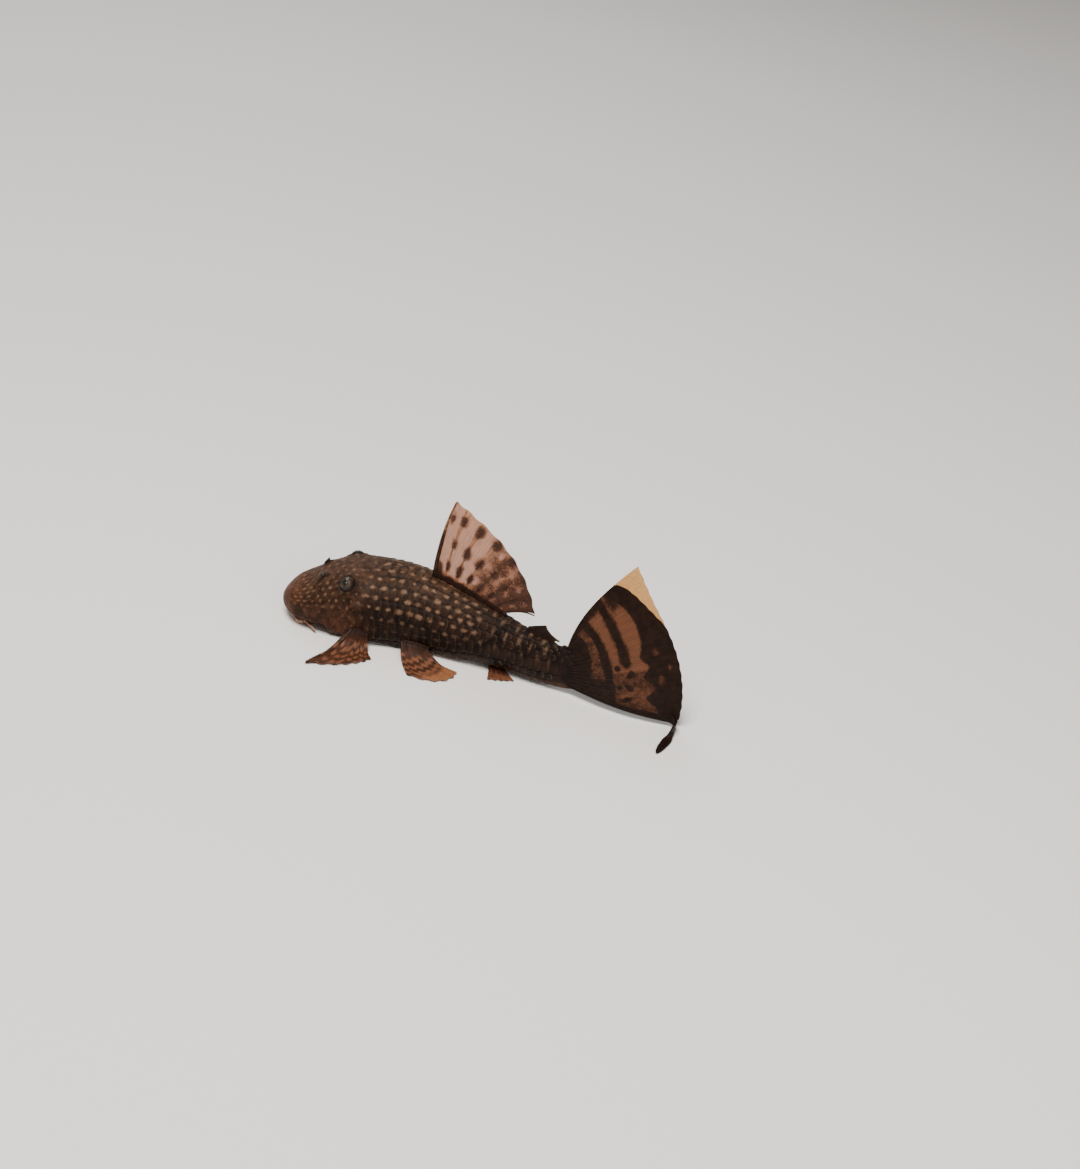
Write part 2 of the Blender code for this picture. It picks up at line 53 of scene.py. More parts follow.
# along, the back's height, the belly's height, the half width, the height of the widest line
SECTIONS = (
    (0.00, 0.090, 0.034, 0.094, 0.056),
    (0.08, 0.134, 0.033, 0.120, 0.056),
    (0.20, 0.199, 0.033, 0.147, 0.056),
    (0.31, 0.222, 0.030, 0.160, 0.057),
    (0.46, 0.232, 0.024, 0.140, 0.062),
    (0.60, 0.211, 0.020, 0.112, 0.068),
    (0.74, 0.189, 0.014, 0.078, 0.080),
    (0.88, 0.167, 0.013, 0.048, 0.084),
    (1.00, 0.162, 0.015, 0.031, 0.088),
)
SNOUT_ROUNDING = 0.085
SNOUT_START = 0.0031
BACK_ROUNDING = 0.055
CHEST_START = (0.157, 0.182)
BELLY_END = (0.655, 0.700)
BACK_FULLNESS = ((0.0, 2.5), (0.30, 2.2), (0.50, 1.85), (0.75, 1.9), (1.0, 2.2))
BELLY_FULLNESS = ((0.0, 3.4), (0.30, 3.6), (0.60, 3.0), (0.75, 2.4), (1.0, 2.2))
BELLY_FLAT = 0.007
TAIL_CLOSING = (0.900, 1.040)
EYE_ALONG = 0.221
EYE_AROUND = 2.43
EYE_SINK = 0.00070
EYE_RADIUS = 0.00128
ORBIT_RISE = 0.011
ORBIT_REACH = (0.045, 0.34)
NOSTRIL_ALONG = 0.138
NOSTRIL_AROUND = 2.80
NOSTRIL_SPREAD = 0.0085
NOSTRIL_RISE = 0.011
NOSTRIL_REACH = (0.020, 0.22)
PLATE_LENGTH = 0.0277
PLATE_START = 0.300
PLATE_ROWS = (0.0, 0.95, 1.30, 1.85, 2.20, 2.48, 2.76, math.pi)
PLATE_STEP = 0.00013
PLATE_BULGE = 0.30
ROW_GROOVE = 0.00010
PLATE_KEEL = 0.00004
NAPE = (0.300, 0.335)
GILL_COVER = ((0.258, 1.70), (0.043, 0.36))
GILL_BULGE = 0.00014
GILL_GROOVE = 0.00016
GIRDLE = ((0.335, 1.45), (0.045, 0.13))
GIRDLE_BULGE = 0.00025
HEAD_LUMPS = (0.00004, 0.00002)
HEAD_SEAM = 0.00010
BROW_SEAM = 0.00006
NOSTRIL_PIT = 0.00034
NOSTRIL_PIT_REACH = (0.0058, 0.055)
BELLY_WRINKLE = 0.00003
ORBIT_RIM = 0.00013
ORBIT_SINK = 0.00020
# the pitch along and around, the half sizes along and around, and the salt
TRUNK_SPOTS = ((0.0395, 0.215), (0.0136, 0.0084), 1.0)
STALK_SPOTS = ((0.046, 0.58), (0.0080, 0.0220), 4.0)
HEAD_SPOTS = ((0.026, 0.165), (0.0076, 0.0064), 7.0)
TOP_SPOT_ROW = 2.90
TAIL_EDGE_HEIGHT = 0.092
FULL_TURN = 2 * math.pi
NUDGE = 1e-3
SIDES = (("left", 1), ("right", -1))


def kept(value):
    """A number kept between 0 and 1."""
    return np.clip(value, 0.0, 1.0)


def ease(value, start, end):
    """0 up to start and 1 from end on, with a smooth run between them."""
    t = kept((np.asarray(value, float) - start) / (end - start))
    return t * t * (3 - 2 * t)


def fall(value, start, end):
    """1 up to start and 0 from end on: what ease leaves of 1."""
    return 1 - ease(value, start, end)


def hump(value, middle, reach):
    """1 at the middle, falling off as a bell on either side."""
    return np.exp(-(((value - middle) / reach) ** 2))


def through(table, column, value):
    """A smooth curve through one column of a table: cubic pieces with shared slopes."""
    x = np.array([row[0] for row in table], float)
    y = np.array([row[column] for row in table], float)
    slope = np.gradient(y, x)
    value = np.clip(np.asarray(value, float), x[0], x[-1])
    k = np.clip(np.searchsorted(x, value, side="right") - 1, 0, len(x) - 2)
    width = x[k + 1] - x[k]
    t = (value - x[k]) / width
    start = y[k] * (1 + 2 * t) * (1 - t) ** 2 + slope[k] * width * t * (1 - t) ** 2
    end = y[k + 1] * t * t * (3 - 2 * t) + slope[k + 1] * width * t * t * (t - 1)
    return start + end


def heading(along):
    """How far the backbone is turned at a place along it, in radians."""
    head = HEAD_TURN * fall(along, *NECK_BEND)
    tail = TAIL_TURN * ease(along, *TAIL_BEND)
    fin = FIN_TURN * ease(along, *FIN_BEND)
    return np.radians(head + tail + fin)


def place(along, left, height):
    """A point of the fish in metres from shares of its length: how far along the backbone, how
    far to the left of it and how high. The backbone is the running sum of its headings."""
    fine = np.linspace(-0.5, 2.0, 2501)
    step = (fine[1] - fine[0]) * STANDARD_LENGTH
    run = np.cumsum(np.cos(heading(fine))) * step
    drift = np.cumsum(np.sin(heading(fine))) * step
    run -= np.interp(REST_ALONG, fine, run)
    drift -= np.interp(REST_ALONG, fine, drift)
    turn = heading(along)
    x = np.interp(along, fine, run) + left * STANDARD_LENGTH * np.sin(turn)
    y = np.interp(along, fine, drift) - left * STANDARD_LENGTH * np.cos(turn)
    return np.stack(np.broadcast_arrays(x, y, height * STANDARD_LENGTH), axis=-1)


def back_height(along):
    """The height of the back's ridge."""
    return through(SECTIONS, 1, along)


def rounded(along, run):
    """A quarter circle, which rises from 0 at the snout's tip to 1 at the end of the run."""
    return np.sqrt(1 - (1 - kept(np.asarray(along, float) / run)) ** 2)


def half_width(along):
    """The half width at the widest line, closed to a round snout."""
    return through(SECTIONS, 3, along) * rounded(along, SNOUT_ROUNDING)


def folded(around):
    """The same turn on both sides: 0 under the belly and half a turn at the back."""
    return np.minimum(around, FULL_TURN - around)


def on_side(turned, side):
    """A turn up the left side, or the same turn up the right side where side is -1."""
    return turned if side > 0 else FULL_TURN - turned


def away_from(along, turned, middle, reach):
    """The square of how far a place is from a middle, counted in reaches along and around."""
    return ((along - middle[0]) / reach[0]) ** 2 + ((turned - middle[1]) / reach[1]) ** 2


def body(along, around):
    """A point of the plain body. around is 0 under the belly, a quarter turn at the left flank,
    half a turn at the back and a full turn at the belly again. Each section is two halves of
    superellipses that meet at the widest line, the belly is cut flat, and the tail's end
    closes to an upright edge."""
    along, around = np.broadcast_arrays(np.asarray(along, float), np.asarray(around, float))
    widest = through(SECTIONS, 4, along)
    closing = rounded(along, BACK_ROUNDING)
    top = widest + (back_height(along) - widest) * closing
    chest = ease(along, *CHEST_START) - ease(along, *BELLY_END)
    under = through(SECTIONS, 2, along) * (1 - chest)
    under = widest - (widest - under) * closing
    upper = np.cos(around) < 0
    fullness = np.where(upper, through(BACK_FULLNESS, 1, along), through(BELLY_FULLNESS, 1, along))
    reach = np.abs(np.sin(around)) ** (2 / fullness)
    rise = np.abs(np.cos(around)) ** (2 / fullness)
    left = half_width(along) * reach * np.sign(np.sin(around))
    low = np.maximum(widest - (widest - under + BELLY_FLAT) * rise, under)
    height = np.where(upper, widest + (top - widest) * rise, low)
    for middle, rise_by, reach_by in (
        ((EYE_ALONG, EYE_AROUND), ORBIT_RISE, ORBIT_REACH),
        ((NOSTRIL_ALONG, NOSTRIL_AROUND), NOSTRIL_RISE, NOSTRIL_REACH),
    ):
        height = height + rise_by * np.exp(-away_from(along, folded(around), middle, reach_by))
    ending = kept((along - TAIL_CLOSING[0]) / (TAIL_CLOSING[1] - TAIL_CLOSING[0]))
    left = left * kept(1 - ending ** 1.7) ** 0.9
    height = height + (TAIL_EDGE_HEIGHT - height) * 0.16 * ending ** 3
    forward = SNOUT_START + along * (1 - SNOUT_START / SNOUT_ROUNDING)
    return place(np.where(along < SNOUT_ROUNDING, forward, along), left, height)


def unit(vectors):
    """The same directions with a length of 1."""
    return vectors / np.maximum(np.linalg.norm(vectors, axis=-1, keepdims=True), 1e-18)


def outward(along, around):
    """The unit normal of the plain body, from its two slopes."""
    ahead = np.minimum(along + NUDGE, 1.0)
    behind = np.maximum(np.minimum(along, 1.0) - NUDGE, 1e-4)
    level = np.minimum(along, 0.995)
    forward = body(ahead, around) - body(behind, around)
    upward = body(level, around + NUDGE) - body(level, around - NUDGE)
    return unit(np.cross(forward, upward))


def eye_centre(side):
    """The middle of an eyeball, sunk below the skin of its side."""
    around = on_side(EYE_AROUND, side)
    return body(EYE_ALONG, around) - outward(EYE_ALONG, around) * EYE_SINK


def plate_place(along, turned):
    """Where on its plate a place is, in shares: how far from the nearer groove beside it, and
    how far back towards the plate's rear edge. The rear edges bulge back, and every other row
    is half a plate on."""
    row = np.interp(turned, PLATE_ROWS, np.arange(len(PLATE_ROWS)))
    which = np.minimum(np.floor(row), len(PLATE_ROWS) - 2)
    across = row - which
    run = (along - PLATE_START) / PLATE_LENGTH + 0.5 * (which % 2)
    run = run + PLATE_BULGE * (2 * across - 1) ** 2
    return np.minimum(across, 1 - across), run - np.floor(run)


def armour(along, turned):
    """1 on the bony plates, and 0 on the head and on the naked belly."""
    return ease(along, *NAPE) * np.maximum(ease(turned, 1.12, 1.34), ease(along, 0.66, 0.73))


def waves(x, y):
    """Soft irregular lumps between -1 and 1: the mean of four crossing waves."""
    total = np.sin(x + 1.3 * np.sin(y * 0.7)) + np.sin(y * 1.1 + 1.7 * np.sin(x * 0.6 + 1.0))
    total = total + np.sin(x * 1.9 - y * 1.3 + 0.5) + np.sin(x * 0.8 + y * 2.1 + 2.0)
    return total / 4


def relief(along, around):
    """How far the skin stands out from the plain body, in metres. Every plate rises to its rear
    edge and drops to the next one, with a groove between the rows and a low keel. The head has
    a rim round each eye, two pits for each nostril, the gill cover's edge and bone seams, and
    the shoulder swells where the pectoral fin is set in."""
    turned = folded(around)
    beside, share = plate_place(along, turned)
    rise = share * fall(share, 0.86, 1.0) - 1
    plates = PLATE_STEP * rise - ROW_GROOVE * hump(beside, 0.0, 0.10)
    plates = plates + PLATE_KEEL * hump(beside, 0.5, 0.14) * ease(share, 0.1, 0.7)
    bony = armour(along, turned)
    lumps = HEAD_LUMPS[0] * waves(along * 160, turned * 17)
    lumps = (lumps + HEAD_LUMPS[1] * waves(along * 420, turned * 43)) * ease(along, 0.004, 0.060)
    head = fall(along, *NAPE) * ease(along, 0.0, 0.05)
    ring = np.sqrt(away_from(along, turned, *GILL_COVER))
    gill = GILL_BULGE * kept(1 - ring ** 2)
    gill = gill - GILL_GROOVE * hump(ring, 1.0, 0.08) * ease(along, 0.235, 0.262)
    nape = along - 0.318 - 0.016 * np.cos(2.4 * (turned - math.pi))
    seams = -HEAD_SEAM * hump(nape, 0.0, 0.0022) * ease(turned, 1.9, 2.2)
    brow = along - 0.255 - 0.05 * (turned - 2.1)
    brow = hump(brow, 0.0, 0.0020) * ease(turned, 1.9, 2.1) * fall(turned, 2.7, 2.9)
    snout = hump(along - 0.045 - 0.02 * np.sin(turned), 0.0, 0.004) * ease(turned, 1.3, 1.6)
    seams = seams - BROW_SEAM * (brow + snout)
    for at in (NOSTRIL_ALONG - NOSTRIL_SPREAD, NOSTRIL_ALONG + NOSTRIL_SPREAD):
        away = away_from(along, turned, (at, NOSTRIL_AROUND), NOSTRIL_PIT_REACH)
        seams = seams - NOSTRIL_PIT * np.exp(-away ** 1.5)
    bare = (1 - bony) * ease(along, 0.16, 0.20) * fall(turned, 1.1, 1.4)
    wrinkles = -BELLY_WRINKLE * (1 + np.sin(along * 330 + 2 * np.sin(turned * 5))) * bare
    points = body(along, around)
    orbit = 0.0
    for side in (1, -1):
        away = np.linalg.norm(points - eye_centre(side), axis=-1)
        orbit = orbit + ORBIT_RIM * hump(away, EYE_RADIUS + 0.00024, 0.00015)
        orbit = orbit - ORBIT_SINK * fall(away, EYE_RADIUS - 0.00006, EYE_RADIUS + 0.00012)
    girdle = GIRDLE_BULGE * np.exp(-away_from(along, turned, *GIRDLE))
    whole = plates * bony * fall(along, 0.985, 1.010) + lumps * (1 - 0.6 * bony)
    whole = whole + (gill + seams) * head + wrinkles + orbit + girdle
    return whole * fall(along, 0.960, TAIL_CLOSING[1] - 0.012)


def skin(along, around):
    """A point of the finished skin: the plain body and its relief, never below the floor."""
    points = body(along, around) + outward(along, around) * relief(along, around)[..., None]
    points[..., 2] = np.maximum(points[..., 2], 0.0)
    return points


def scatter(row, number, salt):
    """A share between 0 and 1 for each cell of a lattice, which looks random and is fixed."""
    value = np.sin(row * 12.9898 + number * 78.233 + salt * 37.719) * 43758.5453
    return value - np.floor(value)


def girth(along):
    """The length of skin that one radian round the body takes up, as a share of its length."""
    return np.interp(along, (0.0, 0.30, 0.50, 0.75, 1.0), (0.10, 0.150, 0.150, 0.095, 0.065))


def spots(along, around, pitch, sizes, salt):
    """1 in the middle of the nearest spot, 0 at its edge and less outside it. The spots stand
    in rows along the body, a pitch apart along and around, each row half a step on from the
    next. Every one is a little off its place and of its own size, which the salt decides."""
    turned = folded(around)
    right = np.where(np.asarray(around) > math.pi, 5.0, 0.0)
    nearest_row = np.round((turned - TOP_SPOT_ROW) / pitch[1])
    best = np.full(np.broadcast(along, around).shape, -2.0)
    for row_step in (-1, 0, 1):
        row = nearest_row + row_step
        shift = 0.5 * (row % 2)
        nearest = np.round(along / pitch[0] - shift)
        for step in (-1, 0, 1):
            number = nearest + step
            odd = scatter(row + right, number, salt) - 0.5
            even = scatter(row + right, number, salt + 1) - 0.5
            size = 1 + 0.5 * (scatter(row + right, number, salt + 2) - 0.5)
            middle = (number + shift + 0.22 * odd) * pitch[0]
            height = TOP_SPOT_ROW + (row + 0.16 * even) * pitch[1]
            away = ((along - middle) / (sizes[0] * size)) ** 2
            away = away + ((turned - height) * girth(along) / (sizes[1] * size)) ** 2
            best = np.maximum(best, 1 - np.sqrt(away))
    return best


def skin_values(along, around):
    """What the skin's colours follow, by name, each between 0 and 1 (spots from -2 to 1)."""
    turned = folded(around)
    stalk = ease(along, 0.66, 0.80)
    trunk_spots = spots(along, around, *TRUNK_SPOTS)
    stalk_spots = spots(along, around, *STALK_SPOTS)
    head_spots = spots(along, around, *HEAD_SPOTS)
    front = fall(along, 0.25, 0.31)
    spot = trunk_spots * (1 - front) * (1 - stalk) + stalk_spots * stalk + head_spots * front
    # Painted shade on the lower flank: the spots and the plates' pale edges are dimmed low down and come to
    # full strength higher up.
    low = ease(turned, 1.55, 2.25)
    spot_strength_and_shade = (0.16 + 0.84 * low) * (1 - 0.36 * front) * (1 - 0.42 * stalk)
    spot_strength_and_shade = spot_strength_and_shade * (1 - 0.25 * ease(turned, 2.75, 3.05)) * fall(along, 0.955, 0.985)
    spot_strength_and_shade = spot_strength_and_shade * (0.66 + 0.34 * waves(along * 52 + 3.0, turned * 9)) * ease(along, 0.012, 0.055)
    beside, share = plate_place(along, turned)
    bony = armour(along, turned)
    # A painted highlight: a paler band at each plate's rear edge, where the odontodes catch the light,
    # dimmed by the painted shade of the lower flank.
    edge = bony * ease(share, 0.62, 0.86) * fall(share, 0.90, 0.98) * (0.35 + 0.65 * low)
    # Painted shade in the hollows: dark along the grooves between the plate rows and at each plate's front,
    # under the edge of the plate ahead.
    painted_hollow_shade = bony * np.maximum(hump(beside, 0.0, 0.11), fall(share, 0.02, 0.22))
    belly = fall(turned, 0.70, 1.02) * (1 - 0.8 * ease(along, 0.64, 0.72))
    ruddy = fall(along + 0.03 * np.cos(turned), 0.0, 0.085)
    cheek = hump(along, 0.225, 0.075) * hump(turned, 1.38, 0.36)
    olive = ease(turned, 1.9, 2.9) * fall(along, 0.55, 0.80)
    # Painted shade in the nostril pits and round the eye sockets: the ground is darkened there and the spots
    # are kept out.
    pit_and_socket_shade = 0.0
    for middle, reach in (
        ((NOSTRIL_ALONG - 0.004, NOSTRIL_AROUND), (0.021, 0.17)),
        ((EYE_ALONG, EYE_AROUND), (0.036, 0.27)),
    ):
        pit_and_socket_shade = np.maximum(pit_and_socket_shade, np.exp(-away_from(along, turned, middle, reach) ** 1.5))
    return {
        "spot": spot, "spot_strength_and_shade": spot_strength_and_shade * (1 - pit_and_socket_shade), "edge": edge, "painted_hollow_shade": np.maximum(painted_hollow_shade, pit_and_socket_shade),
        "belly": belly, "ruddy": kept(ruddy + 0.9 * cheek), "olive": olive, "front": front,
    }


def sheet_faces(rows, columns, flipped):
    """The four-cornered faces of a grid of points, row by row."""
    first = (np.arange(rows - 1)[:, None] * columns + np.arange(columns - 1)[None, :]).ravel()
    faces = np.stack([first, first + 1, first + columns + 1, first + columns], -1)
    return faces[:, ::-1] if flipped else faces


WHOLE_CHART = (0.0, 0.0, 1.0, 1.0)
CHART_NAME = "OFBake"
JOIN_WITHIN = 2e-7


def set_out(name, data):
    """An object in the scene, at the origin, from its mesh, lamp or camera."""
    thing = bpy.data.objects.new(name, data)
    bpy.context.scene.collection.objects.link(thing)
    return thing


def make_piece(name, sheets, material):
    """One mesh from sheets of points. A sheet has its grid of points, its values by name, the
    corner and size of its part of the texture chart, and whether its faces are turned over.
    Points at the same place become one, which closes the seams and the poles."""
    points, faces, charts, values = [], [], [], {}
    count = 0
    for sheet in sheets:
        grid, named, chart, flipped = sheet
        rows, columns, _ = grid.shape
        points.append(grid.reshape(-1, 3))
        faces.append(sheet_faces(rows, columns, flipped) + count)
        shares = np.linspace(0, 1, rows), np.linspace(0, 1, columns)
        up, across = np.meshgrid(*shares, indexing="ij")
        spread = np.stack([chart[0] + chart[2] * across, chart[1] + chart[3] * up], -1)
        charts.append(spread.reshape(-1, 2))
        for key, value in named.items():
            values.setdefault(key, []).append(np.broadcast_to(value, (rows, columns)).ravel())
        count += rows * columns
    points, faces, charts = np.concatenate(points), np.concatenate(faces), np.concatenate(charts)
    mesh = bpy.data.meshes.new(name)
    mesh.from_pydata(points.tolist(), [], faces.tolist())
    chart_layer = mesh.uv_layers.new(name=CHART_NAME)
    chart_layer.data.foreach_set("uv", charts[faces.ravel()].astype(np.float32).ravel())
    for key, value in values.items():
        layer = mesh.attributes.new(key, "FLOAT", "POINT")
        layer.data.foreach_set("value", np.concatenate(value).astype(np.float32))
    joined = bmesh.new()
    joined.from_mesh(mesh)
    bmesh.ops.remove_doubles(joined, verts=joined.verts[:], dist=JOIN_WITHIN)
    joined.to_mesh(mesh)
    joined.free()
    mesh.materials.append(material)
    mesh.shade_smooth()
    return set_out(name, mesh)


def new_finish(name):
    """An empty material, ready for its nodes."""
    finish = bpy.data.materials.new(name)
    finish.use_nodes = True
    return finish


def step_in(finish, kind, links=(), **settings):
    """One node of a finish. links pairs a socket with a number, a colour or another node's
    output."""
    node = finish.node_tree.nodes.new(kind)
    for setting, value in settings.items():
        setattr(node, setting, value)
    for socket, source in dict(links).items():
        if isinstance(source, bpy.types.NodeSocket):
            finish.node_tree.links.new(source, node.inputs[socket])
        else:
            node.inputs[socket].default_value = source
    return node


def value_of(finish, name):
    """A value that the mesh carries at each point."""
    return step_in(finish, "ShaderNodeAttribute", attribute_name=name).outputs["Fac"]


def where_on(finish):
    """The place on a piece, in metres."""
    return step_in(finish, "ShaderNodeTexCoord").outputs["Object"]


def chart_on(finish):
    """The place on a piece's own texture chart."""
    return step_in(finish, "ShaderNodeUVMap", uv_map=CHART_NAME).outputs["UV"]


def noise_of(finish, where, size, detail=3.0, rough=0.55):
    """Soft noise with lumps of about the given size in metres."""
    links = {"Vector": where, "Scale": 1.0 / size, "Detail": detail, "Roughness": rough}
    return step_in(finish, "ShaderNodeTexNoise", links).outputs["Fac"]


def sum_of(finish, first, second, kind="ADD"):
    """Two numbers put together, added unless the kind says otherwise."""
    return step_in(finish, "ShaderNodeMath", {0: first, 1: second}, operation=kind).outputs[0]


def times(finish, first, second):
    """Two numbers multiplied."""
    return sum_of(finish, first, second, "MULTIPLY")


def stirred(finish, value, *noises):
    """A number with noises added to it, each times its weight, so that its edges wander."""
    for noise, weight in noises:
        value = sum_of(finish, value, times(finish, noise, weight))
    return value


def between(finish, value, low, high, to_low=0.0, to_high=1.0):
    """A number brought from one range to another, with soft ends."""
    links = {"Value": value, "From Min": low, "From Max": high, "To Min": to_low, "To Max": to_high}
    kind = "SMOOTHSTEP"
    return step_in(finish, "ShaderNodeMapRange", links, interpolation_type=kind).outputs["Result"]


def blend_of(finish, share, first, second):
    """Two colours mixed by a share."""
    first = (*first, 1.0) if isinstance(first, tuple) else first
    second = (*second, 1.0) if isinstance(second, tuple) else second
    links = {0: share, 6: first, 7: second}
    return step_in(finish, "ShaderNodeMix", links, data_type="RGBA").outputs[2]


def two_toned(finish, pattern, low, high, first, second):
    """One colour where a pattern is low and another where it is high, with a soft edge."""
    return blend_of(finish, between(finish, pattern, low, high), first, second)


def relief_of(finish, height, depth, below=None):
    """Fine relief of a depth in metres, on top of other relief where that is given."""
    links = {"Height": height, "Distance": depth, "Strength": 1.0}
    if below is not None:
        links["Normal"] = below
    return step_in(finish, "ShaderNodeBump", links).outputs["Normal"]


def surface_of(finish, **sockets):
    """Sets the finish's own shader: a number, a colour or a node's output for each socket."""
    shader = finish.node_tree.nodes["Principled BSDF"]
    for name, source in sockets.items():
        socket = shader.inputs[name.replace("_", " ")]
        if isinstance(source, bpy.types.NodeSocket):
            finish.node_tree.links.new(source, socket)
        else:
            socket.default_value = source
    return finish


hide = new_finish("hide")
where = where_on(hide)
lumps = noise_of(hide, where, 0.0022, 4.0)
mottle = noise_of(hide, where, 0.0009, 4.0, 0.6)
grain = noise_of(hide, where, 0.00022, 2.0)
ground = two_toned(hide, lumps, 0.35, 0.65, (0.0052, 0.0022, 0.0014), (0.0180, 0.0078, 0.0045))
for name, pattern, low, high, least, most, tone in (
    ("olive", mottle, 0.32, 0.66, 0.15, 0.90, (0.066, 0.031, 0.0150)),
    ("front", mottle, 0.38, 0.70, 0.10, 0.75, (0.066, 0.029, 0.0150)),
    ("ruddy", mottle, 0.30, 0.66, 0.15, 0.75, (0.100, 0.030, 0.0120)),
    # the edge tone is the painted highlight on the plates' rear edges
    ("edge", grain, 0.30, 0.70, 0.10, 0.40, (0.070, 0.036, 0.0190)),
):
    share = times(hide, value_of(hide, name), between(hide, pattern, low, high, least, most))
    ground = blend_of(hide, share, ground, tone)
# Painted shade darkens the grooves between the plates, the nostril pits and the eye sockets.
ground = blend_of(hide, times(hide, value_of(hide, "painted_hollow_shade"), 0.6), ground, (0.0025, 0.0012, 0.0009))
belly_tone = two_toned(hide, lumps, 0.36, 0.62, (0.062, 0.030, 0.0170), (0.190, 0.110, 0.066))
ground = blend_of(hide, value_of(hide, "belly"), ground, belly_tone)
# The spots' strength carries painted shade: they fade on the lower flank, in the nostril pits and round the
# eye sockets.
in_spot = stirred(hide, value_of(hide, "spot"), (mottle, 1.7), (grain, 0.7))
in_spot = times(hide, between(hide, in_spot, 1.10, 2.05), value_of(hide, "spot_strength_and_shade"))
cream = blend_of(hide, grain, (0.150, 0.082, 0.047), (0.300, 0.180, 0.110))
granules = step_in(hide, "ShaderNodeTexVoronoi", {"Vector": where, "Scale": 8500.0}).outputs["Distance"]
pebbled = relief_of(hide, mottle, 0.00004, relief_of(hide, granules, -0.000020))
surface_of(
    hide, Base_Color=blend_of(hide, in_spot, ground, cream), Normal=pebbled, Specular_IOR_Level=0.10,
    Roughness=between(hide, grain, 0.25, 0.75, 0.42, 0.62),
)

HEAD_ROWS_END = 0.34
BELLY_EDGE = 1.15
snout_rows = SNOUT_ROUNDING * (1 - np.cos(np.linspace(0.0, math.pi / 2, 60)))
head_rows = np.linspace(SNOUT_ROUNDING, HEAD_ROWS_END, 160)
body_rows = np.linspace(HEAD_ROWS_END, TAIL_CLOSING[0], 226)
closing_rows = np.sin(np.linspace(0, math.pi / 2, 44))
closing_rows = TAIL_CLOSING[0] + (TAIL_CLOSING[1] - TAIL_CLOSING[0]) * closing_rows
rows = np.concatenate([snout_rows, head_rows[1:], body_rows[1:], closing_rows[1:]])
under_columns, flank_columns = np.linspace(0.0, BELLY_EDGE, 22), np.linspace(BELLY_EDGE, math.pi, 77)
side_columns = np.concatenate([under_columns, flank_columns[1:]])
columns = np.concatenate([side_columns, FULL_TURN - side_columns[-2::-1]])
along, around = np.meshgrid(rows, columns, indexing="ij")
skin_sheet = (skin(along, around), skin_values(along, around), WHOLE_CHART, True)
skin_piece = make_piece("fish_skin", [skin_sheet], hide)
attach(skin_piece, "root")
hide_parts("head", "trunk", "tail", "gill_cover_left", "gill_cover_right")


# The odontodes: tiny spines of tooth-like bone in three rows on every plate, all over the head
# and in a tuft on each cheek. They point back and a little out, and each is set into the skin.
def spine_places(along, around, lean):
    """Where spines stand and point: on the skin, leaning back from the skin's normal."""
    normal = outward(along, around)
    back = unit(body(along + NUDGE, around) - body(along - NUDGE, around))
    points_to = back * np.cos(lean)[..., None] + normal * np.sin(lean)[..., None]
    return skin(along, around) - normal * 0.00003, points_to, normal


def make_spines(name, feet, points_to, normal, lengths, widths, material):
    """Many small spines as one closed mesh: a foot of three corners and a tip for each."""
    count = len(feet)
    aside = unit(np.cross(points_to, normal))[:, None]
    rise = np.cross(aside, points_to[:, None])
    turn = np.radians((90.0, 210.0, 330.0))[None, :, None]
    corners = feet[:, None] + (np.cos(turn) * aside + np.sin(turn) * rise) * widths[:, None, None]
    tips = feet + points_to * lengths[:, None]
    points = np.concatenate([corners, tips[:, None]], axis=1)
    points[..., 2] = np.maximum(points[..., 2], 0.0)
    first = np.arange(count)[:, None, None] * 4
    faces = np.array([(1, 0, 3), (2, 1, 3), (0, 2, 3), (0, 1, 2)])[None] + first
    mesh = bpy.data.meshes.new(name)
    mesh.from_pydata(points.reshape(-1, 3).tolist(), [], faces.reshape(-1, 3).tolist())
    sides = [(0.05, 0.05), (0.95, 0.05), (0.5, 0.95)] * 3
    chart = np.array(sides + [(0.05, 0.0), (0.5, 0.04), (0.95, 0.0)])
    layer = mesh.uv_layers.new(name=CHART_NAME)
    layer.data.foreach_set("uv", np.tile(chart, (count, 1)).astype(np.float32).ravel())
    mesh.materials.append(material)
    return set_out(name, mesh)


def bone_finish(name, streak_size, ramp, foot, tip, streak, streak_share, rough):
    """Hard smooth bone: one colour at a spine's foot and another at its tip, with streaks."""
    finish = new_finish(name)
    charted = chart_on(finish)
    height = step_in(finish, "ShaderNodeSeparateXYZ", {0: charted}).outputs["Y"]
    streaks = noise_of(finish, charted, streak_size)
    colour = two_toned(finish, height, *ramp, foot, tip)
    colour = blend_of(finish, between(finish, streaks, 0.3, 0.7, 0.0, streak_share), colour, streak)
    return surface_of(
        finish, Base_Color=colour, Normal=relief_of(finish, streaks, 0.00001),
        Roughness=between(finish, streaks, *rough),
    )


rows, plates, steps = np.arange(1, 7), np.arange(0, 26), np.linspace(0.10, 0.90, 8)
row, number, across = np.meshgrid(rows, plates, steps, indexing="ij")
spine_sets = []
for back_by, share in ((0.09, 1.0), (0.42, 0.6), (0.70, 0.45)):
    along = number + 1 - back_by - 0.5 * (row % 2) - PLATE_BULGE * (2 * across - 1) ** 2
    along = PLATE_START + along * PLATE_LENGTH
    turned = np.interp(row + across, np.arange(len(PLATE_ROWS)), PLATE_ROWS)
    along = along + 0.10 * PLATE_LENGTH * (scatter(row, number, across * 9) - 0.5)
    keep = (armour(along, turned) > 0.6) & (along < 0.985)
    for side in (1, -1):
        spine_sets.append((along[keep], on_side(turned[keep], side), np.full(keep.sum(), share)))
HEAD_SPINES = 2600
CHEEK_SPINES = 40
draw = np.random.default_rng(11)
head_along = draw.uniform(0.07, 0.33, HEAD_SPINES)
head_turn = draw.uniform(1.25, FULL_TURN - 1.25, HEAD_SPINES)
